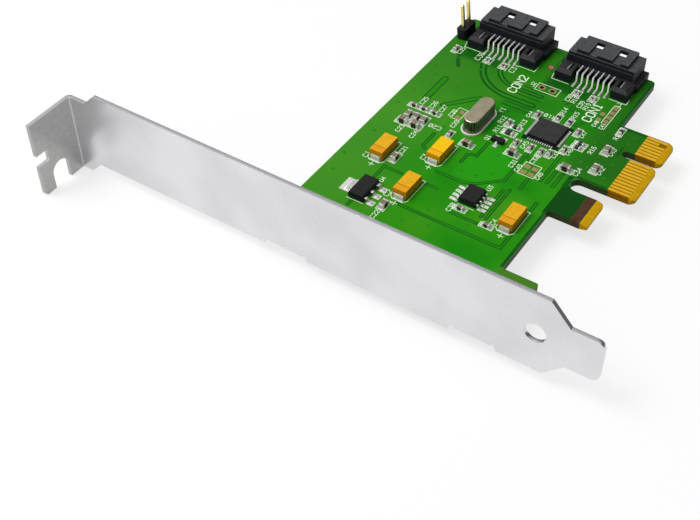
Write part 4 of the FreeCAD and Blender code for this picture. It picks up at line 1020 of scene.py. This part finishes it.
# Each designator's lower left corner and height; the sockets' own are larger and bolder
DESIGNATORS = (
    ("C1", 29.3, 52.0, 1.1), ("C2", 21.5, 41.9, 1.1), ("C3", 35.0, 41.6, 1.0),
    ("C4", 25.6, 20.0, 1.0), ("C21", 34.3, 46.4, 0.95), ("C22", 14.5, 40.8, 0.95),
    ("C23", 39.9, 50.8, 0.95), ("C24", 39.7, 47.3, 0.95), ("C25", 50.7, 51.3, 1.0),
    ("C26", 50.6, 48.8, 1.0), ("C27", 50.6, 46.4, 0.95), ("C28", 47.4, 41.7, 0.95),
    ("C29", 50.4, 43.9, 0.95), ("U4", 24.6, 45.1, 0.85), ("C30", 24.4, 29.3, 0.95),
    ("U3", 33.9, 25.5, 0.95), ("C31", 42.7, 25.2, 0.95), ("C32", 46.1, 22.1, 0.95),
    ("C34", 47.4, 12.9, 1.0), ("Q1", 47.7, 33.6, 0.95), ("R11", 51.0, 33.3, 0.95),
    ("R12", 54.2, 33.9, 0.95), ("R13", 55.4, 29.6, 0.95), ("Y1", 57.4, 35.4, 1.05),
    ("C35", 71.2, 53.8, 1.0), ("C36", 71.3, 49.0, 1.2), ("C37", 71.3, 40.3, 1.2),
    ("CON2", 65.0, 36.5, 1.9), ("CON1", 64.6, 18.3, 1.9), ("J2", 69.2, 34.1, 0.95),
    ("R14", 63.9, 24.1, 0.95), ("R15", 63.8, 21.4, 0.95), ("C38", 68.7, 25.3, 0.95),
    ("R18", 68.7, 23.9, 0.95), ("C39", 67.9, 22.1, 0.95), ("R19", 67.9, 20.7, 0.95),
    ("C40", 63.8, 16.7, 0.8), ("C41", 63.8, 15.1, 0.8),
    ("L2", 72.8, 15.2, 0.85), ("R16", 55.3, 13.4, 0.95), ("R17", 62.3, 10.9, 0.9),
    ("C42", 50.2, 9.1, 0.95), ("C43", 56.9, 9.6, 0.95), ("C44", 59.2, 29.9, 0.8),
    ("C45", 49.3, 26.0, 0.95), ("C46", 52.3, 17.2, 0.85), ("C47", 59.0, 17.2, 0.85),
    ("C48", 42.2, 18.9, 0.85), ("C49", 42.2, 23.7, 0.85), ("C33", 50.0, 19.2, 0.85),
)
for text, x, y, height in DESIGNATORS:
    write(text, x, y, height, BOLD_WIDTH if height > BOLD_FROM else LETTER_WIDTH)
write("C20", 46.0, 43.8, 1.1, LETTER_WIDTH, turned=True)
write("R10", 62.3, 25.0, 1.0, LETTER_WIDTH, turned=True)

# Each moulded capacitor has a bevelled frame with a plus sign at its first end
for x, y in CAPACITOR_PLACES:
    frame_line([
        (x - 3.1, y - 1.95), (x + 4.0, y - 1.95), (x + 4.0, y + 1.95), (x - 3.1, y + 1.95),
        (x - 3.9, y + 1.2), (x - 3.9, y - 1.2),
    ])
    write("+", x - 5.5, y - 0.9, 1.8, 0.16)

# The sockets' corner marks, the spare holes' frame, and marks beside the larger packages
for y in SOCKET_ROWS:
    frame_line([(76.1, y + 9.4), (74.2, y + 9.0), (74.2, y + 4.9)], closed=False)
    frame_line([(74.2, y - 4.9), (74.2, y - 8.9), (76.1, y - 8.9)], closed=False)
frame_line([(68.65, 28.35), (71.25, 28.35), (71.25, 33.6), (68.65, 33.6)])
frame_line([(17.0, 44.9), (16.95, 48.8)], closed=False)
frame_line([(23.8, 48.8), (23.8, 44.9)], closed=False)
frame_line([(27.2, 25.5), (27.2, 29.2)], closed=False)
frame_line([(32.8, 25.5), (32.8, 29.2)], closed=False)
frame_line([(63.9, 14.75), (72.6, 14.75), (72.6, 16.2), (65.7, 16.2)], closed=False)
frame_line([(50.1, 41.95), (54.0, 41.95), (54.0, 44.05), (50.1, 44.05)])
frame_line([(41.9, 20.0), (45.9, 20.0), (45.9, 23.6), (41.9, 23.6)])
legend.make("legend_lines", materials["legend"])

# The test point sits in a dark brown ring
RING_TOP = 0.01
shade = Sheet()
shade.disc(*TEST_POINT, 1.0, 0, RING_TOP, 24)
shade.make("test_point_ring", materials["brown_ring"])

# The floor is pale and plain, and it keeps a soft shadow
FLOOR_REACH = 4
FLOOR_GAP = 0.00002
FLOOR_GLOW = 0.72
PALE_SEEN = 0.94
PALE_THROWN = 0.4
floor_level = cad_bounds[0][2] - FLOOR_GAP
corners = [
    (x * FLOOR_REACH, y * FLOOR_REACH, floor_level) for x, y in ((-1, -1), (1, -1), (1, 1), (-1, 1))
]
mesh = bpy.data.meshes.new("floor")
mesh.from_pydata(corners, [], [(0, 1, 2, 3)])
floor = bpy.data.objects.new("floor", mesh)
bpy.context.scene.collection.objects.link(floor)
stage_material = bpy.data.materials.new("pale_floor")
stage_material.use_nodes = True
tree = stage_material.node_tree
tree.nodes.clear()
output = tree.nodes.new("ShaderNodeOutputMaterial")
blend = tree.nodes.new("ShaderNodeMixShader")
diffuse = tree.nodes.new("ShaderNodeBsdfDiffuse")
glow = tree.nodes.new("ShaderNodeEmission")
glow.inputs["Color"].default_value = (1, 1, 1, 1)
glow.inputs["Strength"].default_value = 1.0
path = tree.nodes.new("ShaderNodeLightPath")
seen = tree.nodes.new("ShaderNodeMath")
seen.operation = "MAXIMUM"
tree.links.new(path.outputs["Is Camera Ray"], seen.inputs[0])
tree.links.new(path.outputs["Is Glossy Ray"], seen.inputs[1])
# It looks white and throws only part of that light back up on the card's edges
tone = tree.nodes.new("ShaderNodeMapRange")
tone.inputs["To Min"].default_value = PALE_THROWN
tone.inputs["To Max"].default_value = PALE_SEEN
tree.links.new(seen.outputs["Value"], tone.inputs["Value"])
tree.links.new(tone.outputs["Result"], diffuse.inputs["Color"])
share = tree.nodes.new("ShaderNodeMath")
share.operation = "MULTIPLY"
share.inputs[1].default_value = FLOOR_GLOW
tree.links.new(seen.outputs["Value"], share.inputs[0])
tree.links.new(share.outputs["Value"], blend.inputs["Fac"])
tree.links.new(diffuse.outputs["BSDF"], blend.inputs[1])
tree.links.new(glow.outputs["Emission"], blend.inputs[2])
tree.links.new(blend.outputs["Shader"], output.inputs["Surface"])
mesh.materials.append(stage_material)

# A pale studio: brightest overhead, dim at the front, with one broad lamp over the far side
BRIGHTEST_SIDE = Vector((-0.25, 0.38, 0.89)).normalized()
SKY_DIM = 0.05
SKY_BRIGHT = 0.8
SKY_DIM_FACING = -0.25
LAMP_PLACE = Vector((-0.25, 0.42, 0.75))
LAMP_AIM = Vector((0.04, 0.04, 0))
LAMP_SIZE = 0.42
LAMP_POWER = 4.6
scene = bpy.context.scene
world = bpy.data.worlds.new("studio")
scene.world = world
world.use_nodes = True
sky = world.node_tree
surround = sky.nodes["Background"]
surround.inputs["Color"].default_value = (1, 1, 1, 1)
direction = sky.nodes.new("ShaderNodeTexCoord")
facing = sky.nodes.new("ShaderNodeVectorMath")
facing.operation = "DOT_PRODUCT"
facing.inputs[1].default_value = BRIGHTEST_SIDE
sky.links.new(direction.outputs["Generated"], facing.inputs[0])
level = sky.nodes.new("ShaderNodeMapRange")
level.interpolation_type = "SMOOTHSTEP"
level.inputs["From Min"].default_value = SKY_DIM_FACING
level.inputs["From Max"].default_value = 1.0
level.inputs["To Min"].default_value = SKY_DIM
level.inputs["To Max"].default_value = SKY_BRIGHT
sky.links.new(facing.outputs["Value"], level.inputs["Value"])
# Past the floor's end it looks as white as the floor
looked_at = sky.nodes.new("ShaderNodeLightPath")
backdrop = sky.nodes.new("ShaderNodeMath")
backdrop.operation = "MAXIMUM"
sky.links.new(level.outputs["Result"], backdrop.inputs[0])
sky.links.new(looked_at.outputs["Is Camera Ray"], backdrop.inputs[1])
sky.links.new(backdrop.outputs["Value"], surround.inputs["Strength"])

lamp_data = bpy.data.lights.new("broad_lamp", "AREA")
lamp_data.shape = "SQUARE"
lamp_data.size = LAMP_SIZE
lamp_data.energy = LAMP_POWER
lamp = bpy.data.objects.new("broad_lamp", lamp_data)
lamp.location = LAMP_PLACE
lamp.rotation_euler = (LAMP_AIM - LAMP_PLACE).to_track_quat("-Z", "Y").to_euler()
scene.collection.objects.link(lamp)

# The camera stands where the photograph was taken from
TURN = Vector((2.12130311, -1.14404422, 0.455360510))
PLACE = Vector((-129.82259, -51.9441888, 161.928812))
FOCAL_PIXELS = 1201.69134
WIDTH_PIXELS = 700
view = Matrix.Rotation(TURN.length, 3, TURN.normalized())
camera_data = bpy.data.cameras.new("camera")
camera_data.sensor_width = 36
camera_data.lens = FOCAL_PIXELS / WIDTH_PIXELS * camera_data.sensor_width
camera_data.clip_start = 0.005
camera_data.clip_end = 20
camera = bpy.data.objects.new("camera", camera_data)
turned = Matrix((view[0], -view[1], -view[2])).transposed()
camera.matrix_world = Matrix.Translation(PLACE * MM) @ turned.to_4x4()
scene.collection.objects.link(camera)
scene.camera = camera
scene.view_settings.view_transform = "Standard"
